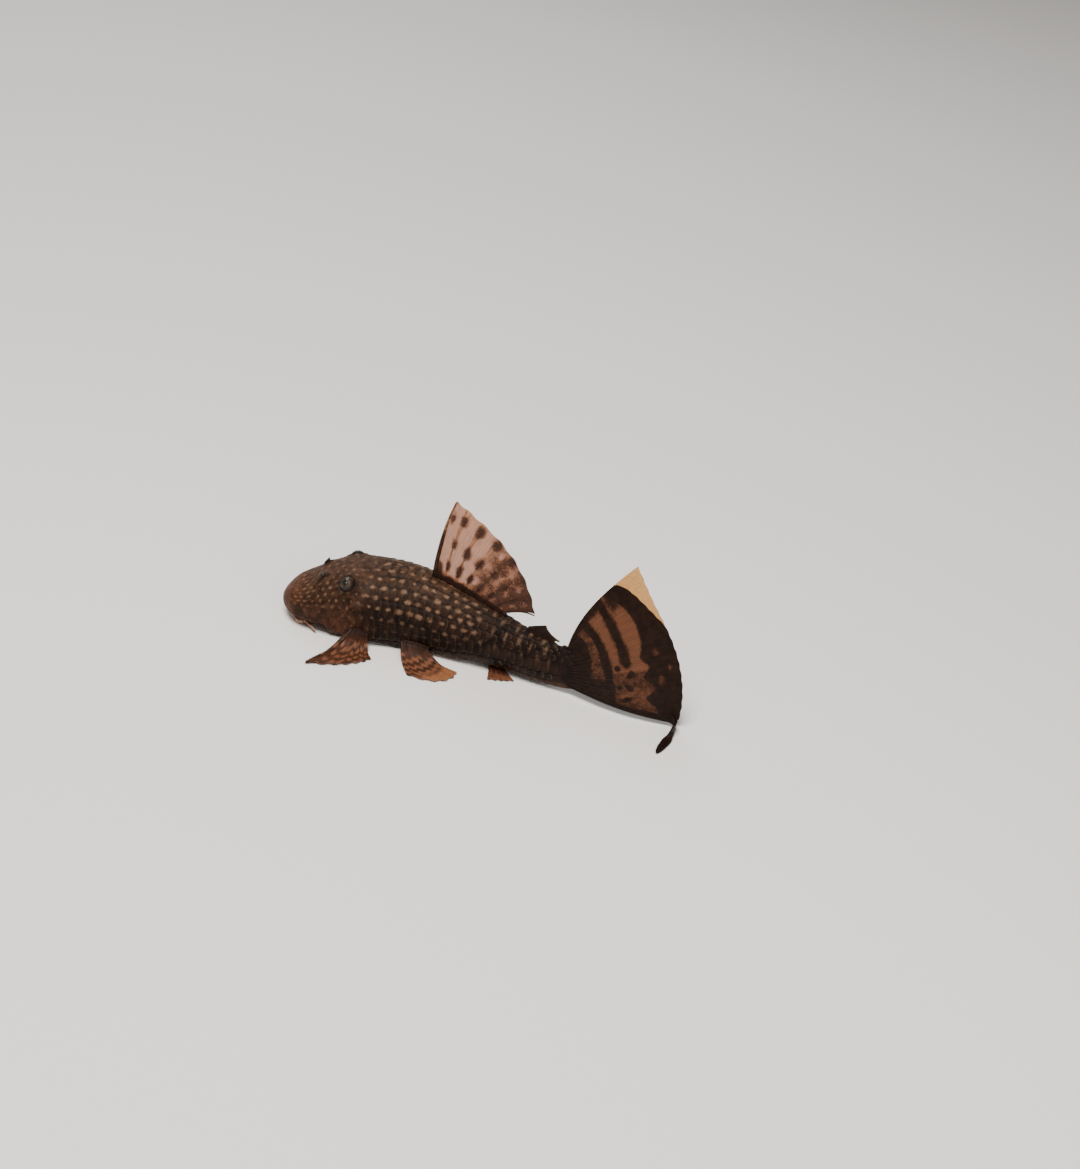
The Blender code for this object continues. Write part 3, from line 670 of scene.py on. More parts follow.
spine_sets.append((head_along, head_turn, np.full(HEAD_SPINES, 0.42)))
for side in (1, -1):
    cheek_along = draw.normal(0.262, 0.010, CHEEK_SPINES)
    cheek_turn = on_side(draw.normal(1.50, 0.07, CHEEK_SPINES), side)
    spine_sets.append((cheek_along, cheek_turn, np.full(CHEEK_SPINES, 2.6)))
along, around, size = [np.concatenate(part) for part in zip(*spine_sets)]
feet = body(along, around)
eye_away = [np.linalg.norm(feet - eye_centre(side), axis=-1) for side in (1, -1)]
clear = np.minimum(*eye_away) > EYE_RADIUS + 0.0003
along, around, size = along[clear], around[clear], size[clear]
lean = np.radians(14 + 16 * scatter(along * 900, around * 70, 2.0))
size = size * (0.8 + 0.4 * scatter(around * 31, along * 77, 5.0))
tooth_bone = bone_finish(
    "tooth_bone", 0.2, (0.1, 0.9), (0.028, 0.018, 0.012), (0.21, 0.145, 0.09), (0.30, 0.22, 0.14), 0.3,
    (0.2, 0.8, 0.28, 0.42),
)
feet, points_to, normal = spine_places(along, around, lean)
lengths, widths = 0.00017 * size, 0.000026 * size ** 0.5
spines = make_spines("odontodes", feet, points_to, normal, lengths, widths, tooth_bone)
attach(spines, "root")


# The eyes: a dark glossy ball in each socket, high on the head. Each has a bronze iris round a
# pupil with a lobe that hangs into it from above, under a clear bulging cornea.
CORNEA_EDGE = 1.02


def ball_about(side, radius_at, rows_to=math.pi, rows=40, columns=64):
    """A ball round an eye's middle, with its pole where the eye looks, and the angles from the
    pole and round it. Its radius changes with the angle from the pole."""
    looks = outward(EYE_ALONG, on_side(EYE_AROUND, side))
    up = unit(np.array([0.0, 0.0, 1.0]) - looks * looks[2])
    beside = np.cross(up, looks)
    angles = np.linspace(0, rows_to, rows), np.linspace(0, FULL_TURN, columns)
    polar, turn = np.meshgrid(*angles, indexing="ij")
    flat = np.cos(turn)[..., None] * up + np.sin(turn)[..., None] * beside
    ball = np.sin(polar)[..., None] * flat + np.cos(polar)[..., None] * looks
    return eye_centre(side) + radius_at(polar)[..., None] * ball, polar, turn


def iris_radius(polar):
    """The eyeball without its cornea: a dished iris in front, with a deep pupil."""
    dish = 0.035 * hump(polar, 0.0, 0.60) + 0.035 * hump(polar, 0.0, 0.26)
    return EYE_RADIUS * (0.968 - dish * fall(polar, 0.75, 0.90))


def cornea_radius(polar):
    """The clear cornea: a dome that meets the eyeball at its rim."""
    return EYE_RADIUS * (0.962 + 0.030 * fall(polar, 0.30, CORNEA_EDGE))


def inner_radius(polar):
    """The cornea's inner face, which meets the outer one at the rim."""
    return cornea_radius(polar) - 0.00003 * (CORNEA_EDGE - polar)


iris = new_finish("iris")
flecks = noise_of(iris, where_on(iris), 0.00016)
pupil = value_of(iris, "pupil")
bronze = two_toned(iris, flecks, 0.36, 0.64, (0.010, 0.0065, 0.0045), (0.060, 0.032, 0.0140))
bronze = two_toned(iris, value_of(iris, "rim"), 0.58, 0.86, bronze, (0.0050, 0.0036, 0.0032))
inner = times(iris, between(iris, pupil, -0.10, -0.03), 0.7)
bronze = blend_of(iris, inner, bronze, (0.140, 0.082, 0.028))
bronze = two_toned(iris, pupil, -0.015, 0.015, bronze, (0.0015, 0.0015, 0.002))
surface_of(
    iris, Base_Color=bronze, Normal=relief_of(iris, flecks, 0.00002), Specular_IOR_Level=0.25,
    Roughness=between(iris, flecks, 0.3, 0.7, 0.30, 0.45),
)
cornea = new_finish("cornea")
film = noise_of(cornea, where_on(cornea), 0.0005)
surface_of(
    cornea, Base_Color=blend_of(cornea, film, (0.93, 0.95, 0.97), (1.0, 1.0, 1.0)),
    Normal=relief_of(cornea, film, 0.000004), Transmission_Weight=1.0, IOR=1.16,
    Roughness=between(cornea, film, 0.2, 0.8, 0.01, 0.04),
)
for side_name, side in SIDES:
    grid, polar, turn = ball_about(side, iris_radius)
    lobe = 0.15 * hump(folded(turn), 0.0, 0.55)
    eye_values = {"pupil": 0.40 - lobe - polar, "rim": polar}
    eyeball = make_piece("eyeball_" + side_name, [(grid, eye_values, WHOLE_CHART, False)], iris)
    walls = []
    for radius_at, chart, flipped in (
        (cornea_radius, (0, 0, 1, 0.5), False), (inner_radius, (0, 0.5, 1, 0.5), True),
    ):
        wall, polar, turn = ball_about(side, radius_at, CORNEA_EDGE, 20)
        walls.append((wall, {}, chart, flipped))
    dome = make_piece("cornea_" + side_name, walls, cornea)
    for piece in (eyeball, dome):
        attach(piece, "root")
        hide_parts("eye_" + side_name)


# The nostril flaps: a low curved hood of soft skin behind the front opening of each nostril,
# cast on to the snout in front of the eyes.
FLAP_HEIGHT = 0.00040
FLAP_RING = 0.0088
FLAP_HALF_WALL = 0.00007


def flap(side, half_wall):
    """A hood that stands up from the skin along three quarters of a small ring, highest at the
    back and drawn thin at its rim."""
    up, across = np.meshgrid(np.linspace(-0.4, 1, 16), np.linspace(-1, 1, 41), indexing="ij")
    bend = across * math.radians(125)
    rim = kept((1 - np.abs(across)) * 6) * kept(np.minimum(1 - up, up + 0.4) * 6)
    ring = FLAP_RING * (1 + 0.16 * kept(up)) + half_wall / STANDARD_LENGTH * np.sqrt(rim)
    turned = on_side(NOSTRIL_AROUND + np.sin(bend) * ring / 0.125, side)
    along = NOSTRIL_ALONG - NOSTRIL_SPREAD + np.cos(bend) * ring
    rise = FLAP_HEIGHT * (0.35 + 0.65 * np.cos(bend / 2) ** 2) * up
    return body(along, turned) + outward(along, turned) * rise[..., None]


soft_skin = new_finish("soft_skin")
blotches = noise_of(soft_skin, where_on(soft_skin), 0.0005)
tone = two_toned(soft_skin, blotches, 0.35, 0.65, (0.0080, 0.0042, 0.0036), (0.030, 0.0145, 0.0100))
surface_of(
    soft_skin, Base_Color=tone, Normal=relief_of(soft_skin, blotches, 0.00003),
    Roughness=between(soft_skin, blotches, 0.3, 0.7, 0.35, 0.55),
)
for side_name, side in SIDES:
    sheets = [
        (flap(side, FLAP_HALF_WALL), {}, (0, 0, 0.5, 1), side < 0),
        (flap(side, -FLAP_HALF_WALL), {}, (0.5, 0, 0.5, 1), side > 0),
    ]
    nostril = make_piece("nostril_flap_" + side_name, sheets, soft_skin)
    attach(nostril, "root")


# The sucker mouth: a round disc of soft lip under the snout, set with rows of small soft warts,
# round a shallow mouth with a jaw above and a jaw below. It is cast in soft rubber.
MOUTH_ALONG = 0.088
MOUTH_LENGTH = 0.113
MOUTH_WIDTH = 0.190
# the share of the way over the rim, how far out, how high in millimetres
LIP_PROFILE = (
    (0.00, 0.00, 0.62), (0.10, 0.26, 0.58), (0.20, 0.42, 0.44), (0.26, 0.50, 0.20), (0.32, 0.58, 0.05),
    (0.44, 0.74, 0.00), (0.58, 0.90, 0.03), (0.66, 0.975, 0.16), (0.74, 1.00, 0.46), (0.82, 0.975, 0.80),
    (0.90, 0.88, 1.10), (0.95, 0.80, 1.50), (1.00, 0.00, 1.62),
)


def lip(share, turn):
    """The disc, turned from its profile: how far out and how high in millimetres by share of
    the way from the mouth's middle, over the rim and up to the head. The warts stand on it in
    rings, the rim is fringed, and the corners of the mouth are notched."""
    out = through(LIP_PROFILE, 1, share)
    height = through(LIP_PROFILE, 2, share) * 0.001
    papilla = 0.5 + 0.5 * np.cos(share * 150 + 0.6 * np.sin(turn * 3))
    papilla = papilla * (0.5 + 0.5 * np.cos(turn * 46))
    on_lip = ease(share, 0.26, 0.34) * fall(share, 0.58, 0.68)
    height = height + 0.00007 * (1 - papilla) * on_lip
    fringe = 1 + 0.022 * np.cos(turn * 34) * hump(share, 0.70, 0.08)
    notch = 1 - 0.06 * hump(np.abs(np.sin(turn)), 1.0, 0.02) * hump(share, 0.66, 0.15)
    half = MOUTH_LENGTH / 2 * STANDARD_LENGTH * 0.99
    ahead = -out * fringe * half * np.cos(turn)
    left = out * fringe * notch * half * MOUTH_WIDTH / MOUTH_LENGTH * np.sin(turn)
    heading_here = float(heading(MOUTH_ALONG))
    middle = place(MOUTH_ALONG, 0.0, 0.0)
    x = middle[0] + ahead * math.cos(heading_here) + left * math.sin(heading_here)
    y = middle[1] + ahead * math.sin(heading_here) - left * math.cos(heading_here)
    return np.stack([x, y, np.maximum(height, 0.0)], -1)


lip_rubber = new_finish("lip_rubber")
where = where_on(lip_rubber)
blush = noise_of(lip_rubber, where, 0.0012)
pores = noise_of(lip_rubber, where, 0.00018)
flesh = two_toned(lip_rubber, blush, 0.35, 0.65, (0.20, 0.095, 0.055), (0.46, 0.27, 0.18))
flesh = blend_of(lip_rubber, value_of(lip_rubber, "dusk"), flesh, (0.060, 0.032, 0.022))
surface_of(
    lip_rubber, Base_Color=flesh, Normal=relief_of(lip_rubber, pores, 0.00003),
    Roughness=between(lip_rubber, pores, 0.3, 0.7, 0.35, 0.55), Specular_IOR_Level=0.45,
)
share, turn = np.meshgrid(np.linspace(0, 1, 130), np.linspace(0, FULL_TURN, 277), indexing="ij")
dusk = 0.9 * ease(share, 0.72, 0.84) + 0.9 * fall(share, 0.10, 0.22)
mouth = make_piece("sucker_mouth", [(lip(share, turn), {"dusk": dusk}, WHOLE_CHART, False)], lip_rubber)
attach(mouth, "root")
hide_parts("mouth")


# The teeth: two rows in each jaw, fine and bent, of amber-tipped enamel, set into the jaws.
JAW_TEETH = 34
JAW_HALF_WIDTH = 0.038
ROOF_PROFILE = LIP_PROFILE[:6]
tooth_sets = []
for jaw in (1, -1):
    for rank in (0, 1):
        share = np.linspace(-1, 1, JAW_TEETH)
        left = JAW_HALF_WIDTH * share
        ahead = jaw * (0.0175 - 0.008 * share ** 2 - 0.003 * rank)
        from_middle = 2 * np.hypot(ahead / MOUTH_LENGTH, left / MOUTH_WIDTH)
        roof = np.interp(from_middle, [row[1] for row in ROOF_PROFILE], [row[2] for row in ROOF_PROFILE])
        ahead = MOUTH_ALONG - ahead
        feet = place(ahead, left, (roof + 0.06) * 0.001 / STANDARD_LENGTH)
        inward = unit(place(ahead + jaw * NUDGE, left, 0.0) - place(ahead, left, 0.0))
        direction = unit(np.array([0.0, 0.0, -0.85]) + inward * 0.53)
        tooth_sets.append((feet, direction, inward))
feet, direction, inward = [np.concatenate(part) for part in zip(*tooth_sets)]
enamel = bone_finish(
    "enamel", 0.15, (0.35, 0.95), (0.62, 0.52, 0.36), (0.48, 0.22, 0.07), (0.80, 0.72, 0.55), 0.25,
    (0.3, 0.7, 0.18, 0.30),
)
lengths, widths = np.full(len(feet), 0.00040), np.full(len(feet), 0.00005)
teeth = make_spines("teeth", feet, direction, inward, lengths, widths, enamel)
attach(teeth, "root")


# The barbels: a short soft feeler at each corner of the mouth, tapered, cast on to the lip.
BARBEL_RADIUS = 0.00028
BARBEL_START = (0.100, 0.096, 0.0185)
BARBEL_END = (0.136, 0.134, 0.0085)
BARBEL_ROOT = 0.20


def tube(path, normal, radius, sides=9):
    """A round tube along a path of points. Each ring stands square to the path, and the radius
    is 0 at both ends, so they close."""
    tangent = unit(np.gradient(path, axis=0))
    aside = unit(np.cross(tangent, normal))[:, None]
    upright = np.cross(aside, tangent[:, None])
    turn = np.linspace(0, FULL_TURN, sides)[None, :, None]
    return path[:, None] + (np.cos(turn) * upright + np.sin(turn) * aside) * radius[:, None, None]


for side_name, side in SIDES:
    share = np.linspace(-BARBEL_ROOT, 1, 46)
    along, left, height = [a + (b - a) * share for a, b in zip(BARBEL_START, BARBEL_END)]
    path = place(along, side * left, height + 0.002 * np.sin(share * math.pi))
    closed = (2 * share - 1 + BARBEL_ROOT) / (1 + BARBEL_ROOT)
    radius = BARBEL_RADIUS * (1 - 0.55 * share) * np.sqrt(kept(1 - closed ** 24))
    rings = 0.03 * np.sin(share * 46 + np.sin(share * 17))
    radius = radius * (1 + rings + 0.16 * fall(share, -0.08, 0.16))
    sheet = (tube(path, np.array([[0.0, 0.0, 1.0]]), radius, 17), {"dusk": 0.35}, WHOLE_CHART, False)
    barbel = make_piece("barbel_" + side_name + "_skin", [sheet], lip_rubber)
    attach(barbel, "root")
    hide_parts("barbel_" + side_name)


# The dorsal fin: a stout spine and seven soft rays that branch, with a thin clear web between
# them, on the middle of the back. The rays are rows of short bone joints, spotted with brown.
DORSAL_BASE = (0.498, 0.760)
DORSAL_RAYS = 8
DORSAL_LENGTHS = (0.288, 0.118)
DORSAL_ANGLES = (79.0, 18.0)
DORSAL_EARLY_ANGLE = 9.0
DORSAL_SWAY = 0.012
FIN_GAP = 0.0004 / STANDARD_LENGTH
FIN_FOOT = -0.1
WEB_WALL = 0.00012
RAY_FOOT = -0.09
RAY_END = 0.995


def from_to(ends, share):
    """A number on the straight run between two ends."""
    return ends[0] + (ends[1] - ends[0]) * share


def toward(angle):
    """The direction of an angle, ahead and up."""
    return np.stack([np.cos(angle), np.sin(angle)], -1)


def sunk(out):
    """0 on the fin, and 1 at its foot inside the body."""
    return kept(out / FIN_FOOT)


def web_notch(number):
    """0 at a ray and 1 halfway to the next, where the web's margin is drawn in."""
    return np.sin(math.pi * number) ** 2


def fin_values(out, dark, solid, until, cream=0.0):
    """What a fin's colours follow. solid keeps the foot from being seen through, and falls to 0
    at until."""
    solid = solid * fall(out, 0.0, until)
    return {"dark": kept(dark), "cream": cream + 0 * out, "solid": solid}


def bent_ray(base, control, tip, out):
    """A ray that leaves its base towards the control point and ends at the tip. It is straight
    where out is below 0."""
    share = kept(out)[..., None]
    return base * (1 - share) ** 2 + control * 2 * share * (1 - share) + tip * share * share


def dorsal_fin(number, out):
    """A point of the fin by the number of the ray and how far out on it. Length and angle fall
    by powers of the number. Below 0 out, the fin runs down into the back."""
    share = np.maximum(number / (DORSAL_RAYS - 1), 0.0)
    along = from_to(DORSAL_BASE, share)
    length = from_to(DORSAL_LENGTHS, share ** 1.4)
    angle = np.radians(from_to(DORSAL_ANGLES, share ** 1.6))
    base = np.stack([along, back_height(along) + FIN_GAP], -1)
    tip = base + (length - 0.005 * web_notch(number))[..., None] * toward(angle)
    control = base + 0.5 * length[..., None] * toward(angle + math.radians(DORSAL_EARLY_ANGLE))
    flat = bent_ray(base, control, tip, out)
    sway = DORSAL_SWAY * np.sin(flat[..., 0] * 14.0) * ease(out, 0.1, 1.0)
    return place(flat[..., 0], sway, flat[..., 1] - 0.020 * sunk(out))


def fin_normal(fin, number, out):
    """The unit normal of a fin, from its two slopes."""
    beside = fin(number + NUDGE, out) - fin(number - NUDGE, out)
    nearer = np.clip(out, 0.0, 0.998) - NUDGE * (out > 0.001)
    return unit(np.cross(beside, fin(number, np.minimum(out + NUDGE, 1.0)) - fin(number, nearer)))


def fin_web(fin, numbers, outs, wall, values, flesh=0.0):
    """The two faces of a fin's web, half a wall either way from its middle, thicker at the rays
    and drawn together all round the edge. At the foot it swells to a rounded pad of flesh."""
    number, out = np.meshgrid(numbers, outs, indexing="ij")
    middle = fin(number, out)
    normal = fin_normal(fin, number, out)
    first = (number - numbers[0]) / (numbers[-1] - numbers[0])
    last = (out - outs[0]) / (outs[-1] - outs[0])
    edge = np.minimum(np.minimum(first, 1 - first) * 60, np.minimum(last * 40, (1 - last) * 30))
    edge = np.sqrt(kept(edge))
    ridge = 1 + 1.2 * hump(number - np.round(number), 0.0, 0.16) * (1 - 0.5 * kept(out))
    pad = flesh * np.sqrt(kept(4 * first * (1 - first)))
    pad = pad * ease(out, -0.08, 0.03) * fall(out, 0.03, 0.25)
    half = (wall / 2 * ridge + pad) * edge
    named = values(number, out)
    upper, lower = middle + normal * half[..., None], middle - normal * half[..., None]
    upper[..., 2] = np.maximum(upper[..., 2], 0.0)
    lower[..., 2] = np.maximum(lower[..., 2], 0.0)
    return [(upper, named, (0.0, 0.0, 1.0, 0.49), True), (lower, named, (0.0, 0.51, 1.0, 0.49), False)]


def fin_ray(fin, number, start, end, spread, widths, joints, values, chart):
    """One tube along a fin: from start to end on a ray, drifting aside by spread, from one
    radius to the other, ringed where its bone joints meet."""
    share = np.linspace(0, 1, 84)
    out = from_to((start, end), share)
    drift = number + spread * (0.10 + 0.90 * ease(out, start, end + 0.25))
    path = fin(drift, out)
    rings = 1 - 0.16 * hump(np.sin(math.pi * joints * out), 0.0, 0.35) * ease(out, 0.12, 0.2)
    ends = np.sqrt(kept(np.minimum(share * 40, (1 - share) * 30)))
    radius = np.minimum(from_to(widths, share) * rings * ends, path[:, 2] * 0.999)
    grid = tube(path, fin_normal(fin, drift, out), radius)
    return (grid, values(drift[:, None], out[:, None]), chart, False)


def fin_rays(fin, numbers, split, spread, widths, joints, values):
    """Every soft ray of a fin: a stem up to the split and two twigs from there to the margin."""
    sheets = []
    charts = len(numbers) * 3
    middle = from_to(widths, split)
    stem, twig = (widths[0], middle), (middle * 0.86, widths[1])
    parts = [(RAY_FOOT, split + 0.02, 0.0, stem)]
    parts += [(split - 0.02, RAY_END, aside, twig) for aside in (-spread, spread)]
    for k, number in enumerate(numbers):
        for j, (start, end, aside, ends) in enumerate(parts):
            strip = ((3 * k + j) / charts, 0.0, 0.9 / charts, 1.0)
            sheets.append(fin_ray(fin, number, start, end, aside, ends, joints, values, strip))
    return sheets


def ray_numbers(count, steps):
    """Numbers across a fin, from its first ray to its last, with steps from ray to ray."""
    return np.linspace(0.0, count - 1, (count - 1) * steps + 1)


def make_fin(name, ending, fin, values, finishes, web, rays=None, spine=None):
    """The pieces of a fin: its web, its soft rays and its front spine. web gives the numbers
    across it, its rows of points, its wall and its flesh. rays gives what fin_rays takes, and
    spine gives how far out it ends and its radii at the foot and the tip."""
    numbers, rows, wall, flesh = web
    outs = np.linspace(FIN_FOOT, 1.0, rows)
    faces = fin_web(fin, numbers, outs, wall, values, flesh)
    pieces = [make_piece(name + "_web" + ending, faces, finishes[0])]
    if rays:
        pieces.append(make_piece(name + "_rays" + ending, fin_rays(fin, *rays, values), finishes[1]))
    if spine:
        sheet = fin_ray(fin, 0.0, FIN_FOOT, spine[0], 0.0, spine[1], 1, values, WHOLE_CHART)
        pieces.append(make_piece(name + "_spine" + ending, [sheet], finishes[1]))
    return pieces


ROOT_BROWN = (0.0120, 0.0052, 0.0032)
WEB_CREAM = (0.6, 0.5, 0.4)


def web_finish(name, clear, dark, cream=WEB_CREAM, alphas=(1.0, 1.0), streak=8.0):
    """A thin web: see-through between its markings and nearly solid on them, with fine fibres
    along the rays and a dark brown foot. clear, dark and cream are its three tones."""
    finish = new_finish(name)
    where = where_on(finish)
    patches = noise_of(finish, where, 0.0009)
    freckles = noise_of(finish, where, 0.00025)
    stretch = {"Vector": chart_on(finish), "Scale": (6.0, streak, 1.0)}
    stretched = step_in(finish, "ShaderNodeMapping", stretch).outputs[0]
    fibres = noise_of(finish, stretched, 1.0, 2.0, 0.5)
    solid = value_of(finish, "solid")
    marked = stirred(finish, value_of(finish, "dark"), (patches, 0.75), (freckles, 0.50))
    marked = between(finish, marked, 0.86, 1.38)
    pale = two_toned(finish, fibres, 0.35, 0.65, clear, tuple(c * 0.72 for c in clear))
    deep = two_toned(finish, patches, 0.35, 0.65, dark, tuple(c * 1.9 for c in dark))
    colour = blend_of(finish, marked, pale, deep)
    colour = blend_of(finish, times(finish, between(finish, solid, 0.0, 0.5), 0.75), colour, ROOT_BROWN)
    tinted = stirred(finish, value_of(finish, "cream"), (freckles, 0.2))
    tinted = between(finish, tinted, 0.50, 0.72)
    milk = blend_of(finish, fibres, cream, tuple(c * 0.80 for c in cream))
    worn = between(finish, freckles, 0.40, 0.70, 0.0, 0.45)
    milk = blend_of(finish, worn, milk, tuple(c * 0.45 for c in cream))
    alpha = between(finish, marked, 0.0, 1.0, *alphas)
    alpha = sum_of(finish, stirred(finish, alpha, (tinted, 0.5), (solid, 1.0)), 1.0, "MINIMUM")
    return surface_of(
        finish, Base_Color=blend_of(finish, tinted, colour, milk), Alpha=alpha,
        Normal=relief_of(finish, fibres, 0.00005), Specular_IOR_Level=0.12,
        Roughness=between(finish, freckles, 0.25, 0.75, 0.36, 0.56),
    )


def dorsal_marks(number, out):
    """Where the fin is dark: three rows of long spots along the rays, its foot, the lower half
    of the spine and its hindmost rays."""
    whole = np.round(number)
    uneven = 0.030 * np.sin(whole * 2.7 + 0.8)
    rows = [0.19 + uneven, 0.47 + 0.015 * whole - uneven, 0.81 + 0.035 * whole + 0.5 * uneven]
    reach = 0.108 + 0.007 * whole + 0.014 * np.sin(whole * 4.1)
    long = np.exp(-np.abs((out[..., None] - np.stack(rows, -1)) / reach[..., None]) ** 2.6)
    beside = hump(number, whole + 0.04, 0.28 + 0.03 * whole)
    marks = long.max(-1) * beside * ease(number, 0.3, 0.8) * (0.74 + 0.04 * whole)
    foot = fall(out, -0.02, 0.07 + 0.030 * number + 0.025 * np.sin(number * 5.3))
    foot = np.maximum(foot, fall(out, 0.04, 0.34) * fall(number, 0.25, 1.1))
    spine = fall(number, 0.10, 0.30) * (1 - 0.50 * ease(out, 0.40, 0.70))
    streak = 0.8 * hump(number, 0.30, 0.22) * hump(out, 0.80, 0.10)
    rear = 0.64 * ease(number, 2.0, 3.9) + 0.18 * ease(number, 4.4, 6.2)
    worn = hump(np.abs(number - whole), 0.5, 0.20) * (0.5 + 0.5 * np.sin(out * 19 + whole))
    haze = 0.28 * fall(out, 0.2, 0.6) * ease(number, 1.5, 3.5)
    parts = np.broadcast_arrays(marks, foot, spine, streak, rear * (1 - 0.30 * worn), haze)
    return fin_values(out, np.max(parts, axis=0), 0.6, 0.10)


clear_web = web_finish(
    "clear_web", (0.50, 0.185, 0.080), (0.034, 0.0135, 0.0075), alphas=(0.66, 0.93), streak=220.0,
)
ray_bone = web_finish("ray_bone", (0.33, 0.160, 0.088), (0.024, 0.0100, 0.0058))
for piece in make_fin(
    "dorsal", "", dorsal_fin, dorsal_marks, (clear_web, ray_bone),
    (ray_numbers(DORSAL_RAYS, 14), 110, 0.00011, 0.0),
    (range(1, DORSAL_RAYS), 0.46, 0.19, (0.00021, 0.00010), 26), (1.0, (0.00042, 0.00012)),
):
    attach(piece, "root")
    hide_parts("dorsal_fin")


# The adipose fin: a short flattened spine laid back on the tail stalk, with a small web behind
# it that runs down to the back.
ADIPOSE_BASE = (0.862, 0.958)
ADIPOSE_HEIGHT = 0.033
ADIPOSE_SLANT = 0.059


def adipose_fin(number, out):
    """A point of the fin: straight lines from the back to a tip that comes nearer and lower
    from the spine, number 0, to the rear, number 1."""
    share = kept(number)
    along = from_to(ADIPOSE_BASE, number)
    base = np.stack([along, back_height(along) + FIN_GAP], -1)
    rise = 0.94 * ADIPOSE_HEIGHT * (1 - 0.96 * np.sqrt(share))
    reach = np.stack([ADIPOSE_SLANT * (1 - 0.70 * share), rise], -1)
    flat = base + reach * kept(out)[..., None]
    return place(flat[..., 0], 0.0, flat[..., 1] - 0.018 * sunk(out))


def adipose_marks(number, out):
    """Dark all over, with a paler rim behind."""
    dark = 0.95 - 0.55 * ease(out, 0.75, 1.0) * ease(number, 0.2, 0.5)
    return {"dark": dark, "cream": 0 * out, "solid": 0.4 + 0 * out}


stalk_web = web_finish(
    "stalk_web", (0.120, 0.055, 0.030), (0.0140, 0.0068, 0.0042), alphas=(0.75, 0.97), streak=60.0,
)
for piece in make_fin(
    "adipose", "", adipose_fin, adipose_marks, (stalk_web, stalk_web),
    (np.linspace(0, 1, 40), 30, 0.00022, 0.0), None, (1.0, (0.00032, 0.00014)),
):
    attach(piece, "root")
    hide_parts("adipose_fin")


# The tail fin: sixteen rays fanned out behind the tail stalk, with a web between them. Dark and
# tan bands cross it, its upper corner is cream, and the tip of its lowest ray is curled forward.
CAUDAL_RAYS = 16
CAUDAL_ROOT = (0.160, 0.028)
CAUDAL_CENTRE = 0.09
CAUDAL_RADII = (0.408, 0.388, 0.421)
CAUDAL_ANGLES = (-12.7, 42.0, 67.0)
CAUDAL_LOWEST = 0.001
CAUDAL_EARLY_ANGLE = 22.0
CAUDAL_LEAN = 0.10
CAUDAL_CURL_START = 1.362
CAUDAL_CURL_LENGTH = 0.160
CAUDAL_CURL_RADIUS = 0.030
CAUDAL_CURL_TURN = 108.0


def caudal_fan(number, out, curl):
    """A point of the fan by the number of the ray, from 0 at the top to 15, and how far out on
    it. Angle and reach go from the highest ray to the lowest. A curled ray is longer, and
    beyond a line it bends round a small circle to the left. The upper half leans right."""
    ray = number / (CAUDAL_RAYS - 1)
    low, middle, high = CAUDAL_ANGLES
    angle = from_to((high, low), ray)
    upper = kept((angle - middle) / (high - middle))
    lower = kept((middle - angle) / (middle - low))
    reach = CAUDAL_RADII[1] + (CAUDAL_RADII[2] - CAUDAL_RADII[1]) * upper ** 2
    reach = reach + (CAUDAL_RADII[0] - CAUDAL_RADII[1]) * lower ** 1.4 - 0.0020 * web_notch(number)
    tip = np.array([1.0, CAUDAL_CENTRE]) + reach[..., None] * toward(np.radians(angle))
    tip[..., 0] = tip[..., 0] + CAUDAL_CURL_LENGTH * curl
    tip[..., 1] = np.maximum(tip[..., 1], CAUDAL_LOWEST)
    base = np.stack([1.0067 + 0.012 * np.sin(math.pi * ray), from_to(CAUDAL_ROOT, ray)], -1)
    chord = tip - base
    early = np.arctan2(chord[..., 1], chord[..., 0]) + math.radians(CAUDAL_EARLY_ANGLE) * upper ** 1.5
    span = np.linalg.norm(chord, axis=-1, keepdims=True)
    flat = bent_ray(base, base + 0.45 * span * toward(early), tip, out)
    along, height = flat[..., 0] - 0.026 * sunk(out), flat[..., 1]
    beyond = np.maximum(along - CAUDAL_CURL_START, 0.0)
    bend = np.minimum(beyond / CAUDAL_CURL_RADIUS, math.radians(CAUDAL_CURL_TURN) * curl)
    straight = beyond - bend * CAUDAL_CURL_RADIUS
    bent = along - beyond + CAUDAL_CURL_RADIUS * np.sin(bend) + straight * np.cos(bend)
    left = CAUDAL_CURL_RADIUS * (1 - np.cos(bend)) + straight * np.sin(bend)
    lean = CAUDAL_LEAN * np.clip((height - 0.10) / 0.40, 0.0, 1.2) ** 1.5
    return place(bent, left - lean, height + 0.0045 * ease(number, 13.5, 14.6))


def caudal_fin(number, out):
    """The fan without its curled edge."""
    return caudal_fan(number, out, 0.0)


def caudal_curl(number, out):
    """The lowest rays, curled at the tip."""
    return caudal_fan(number, out, 1.0)


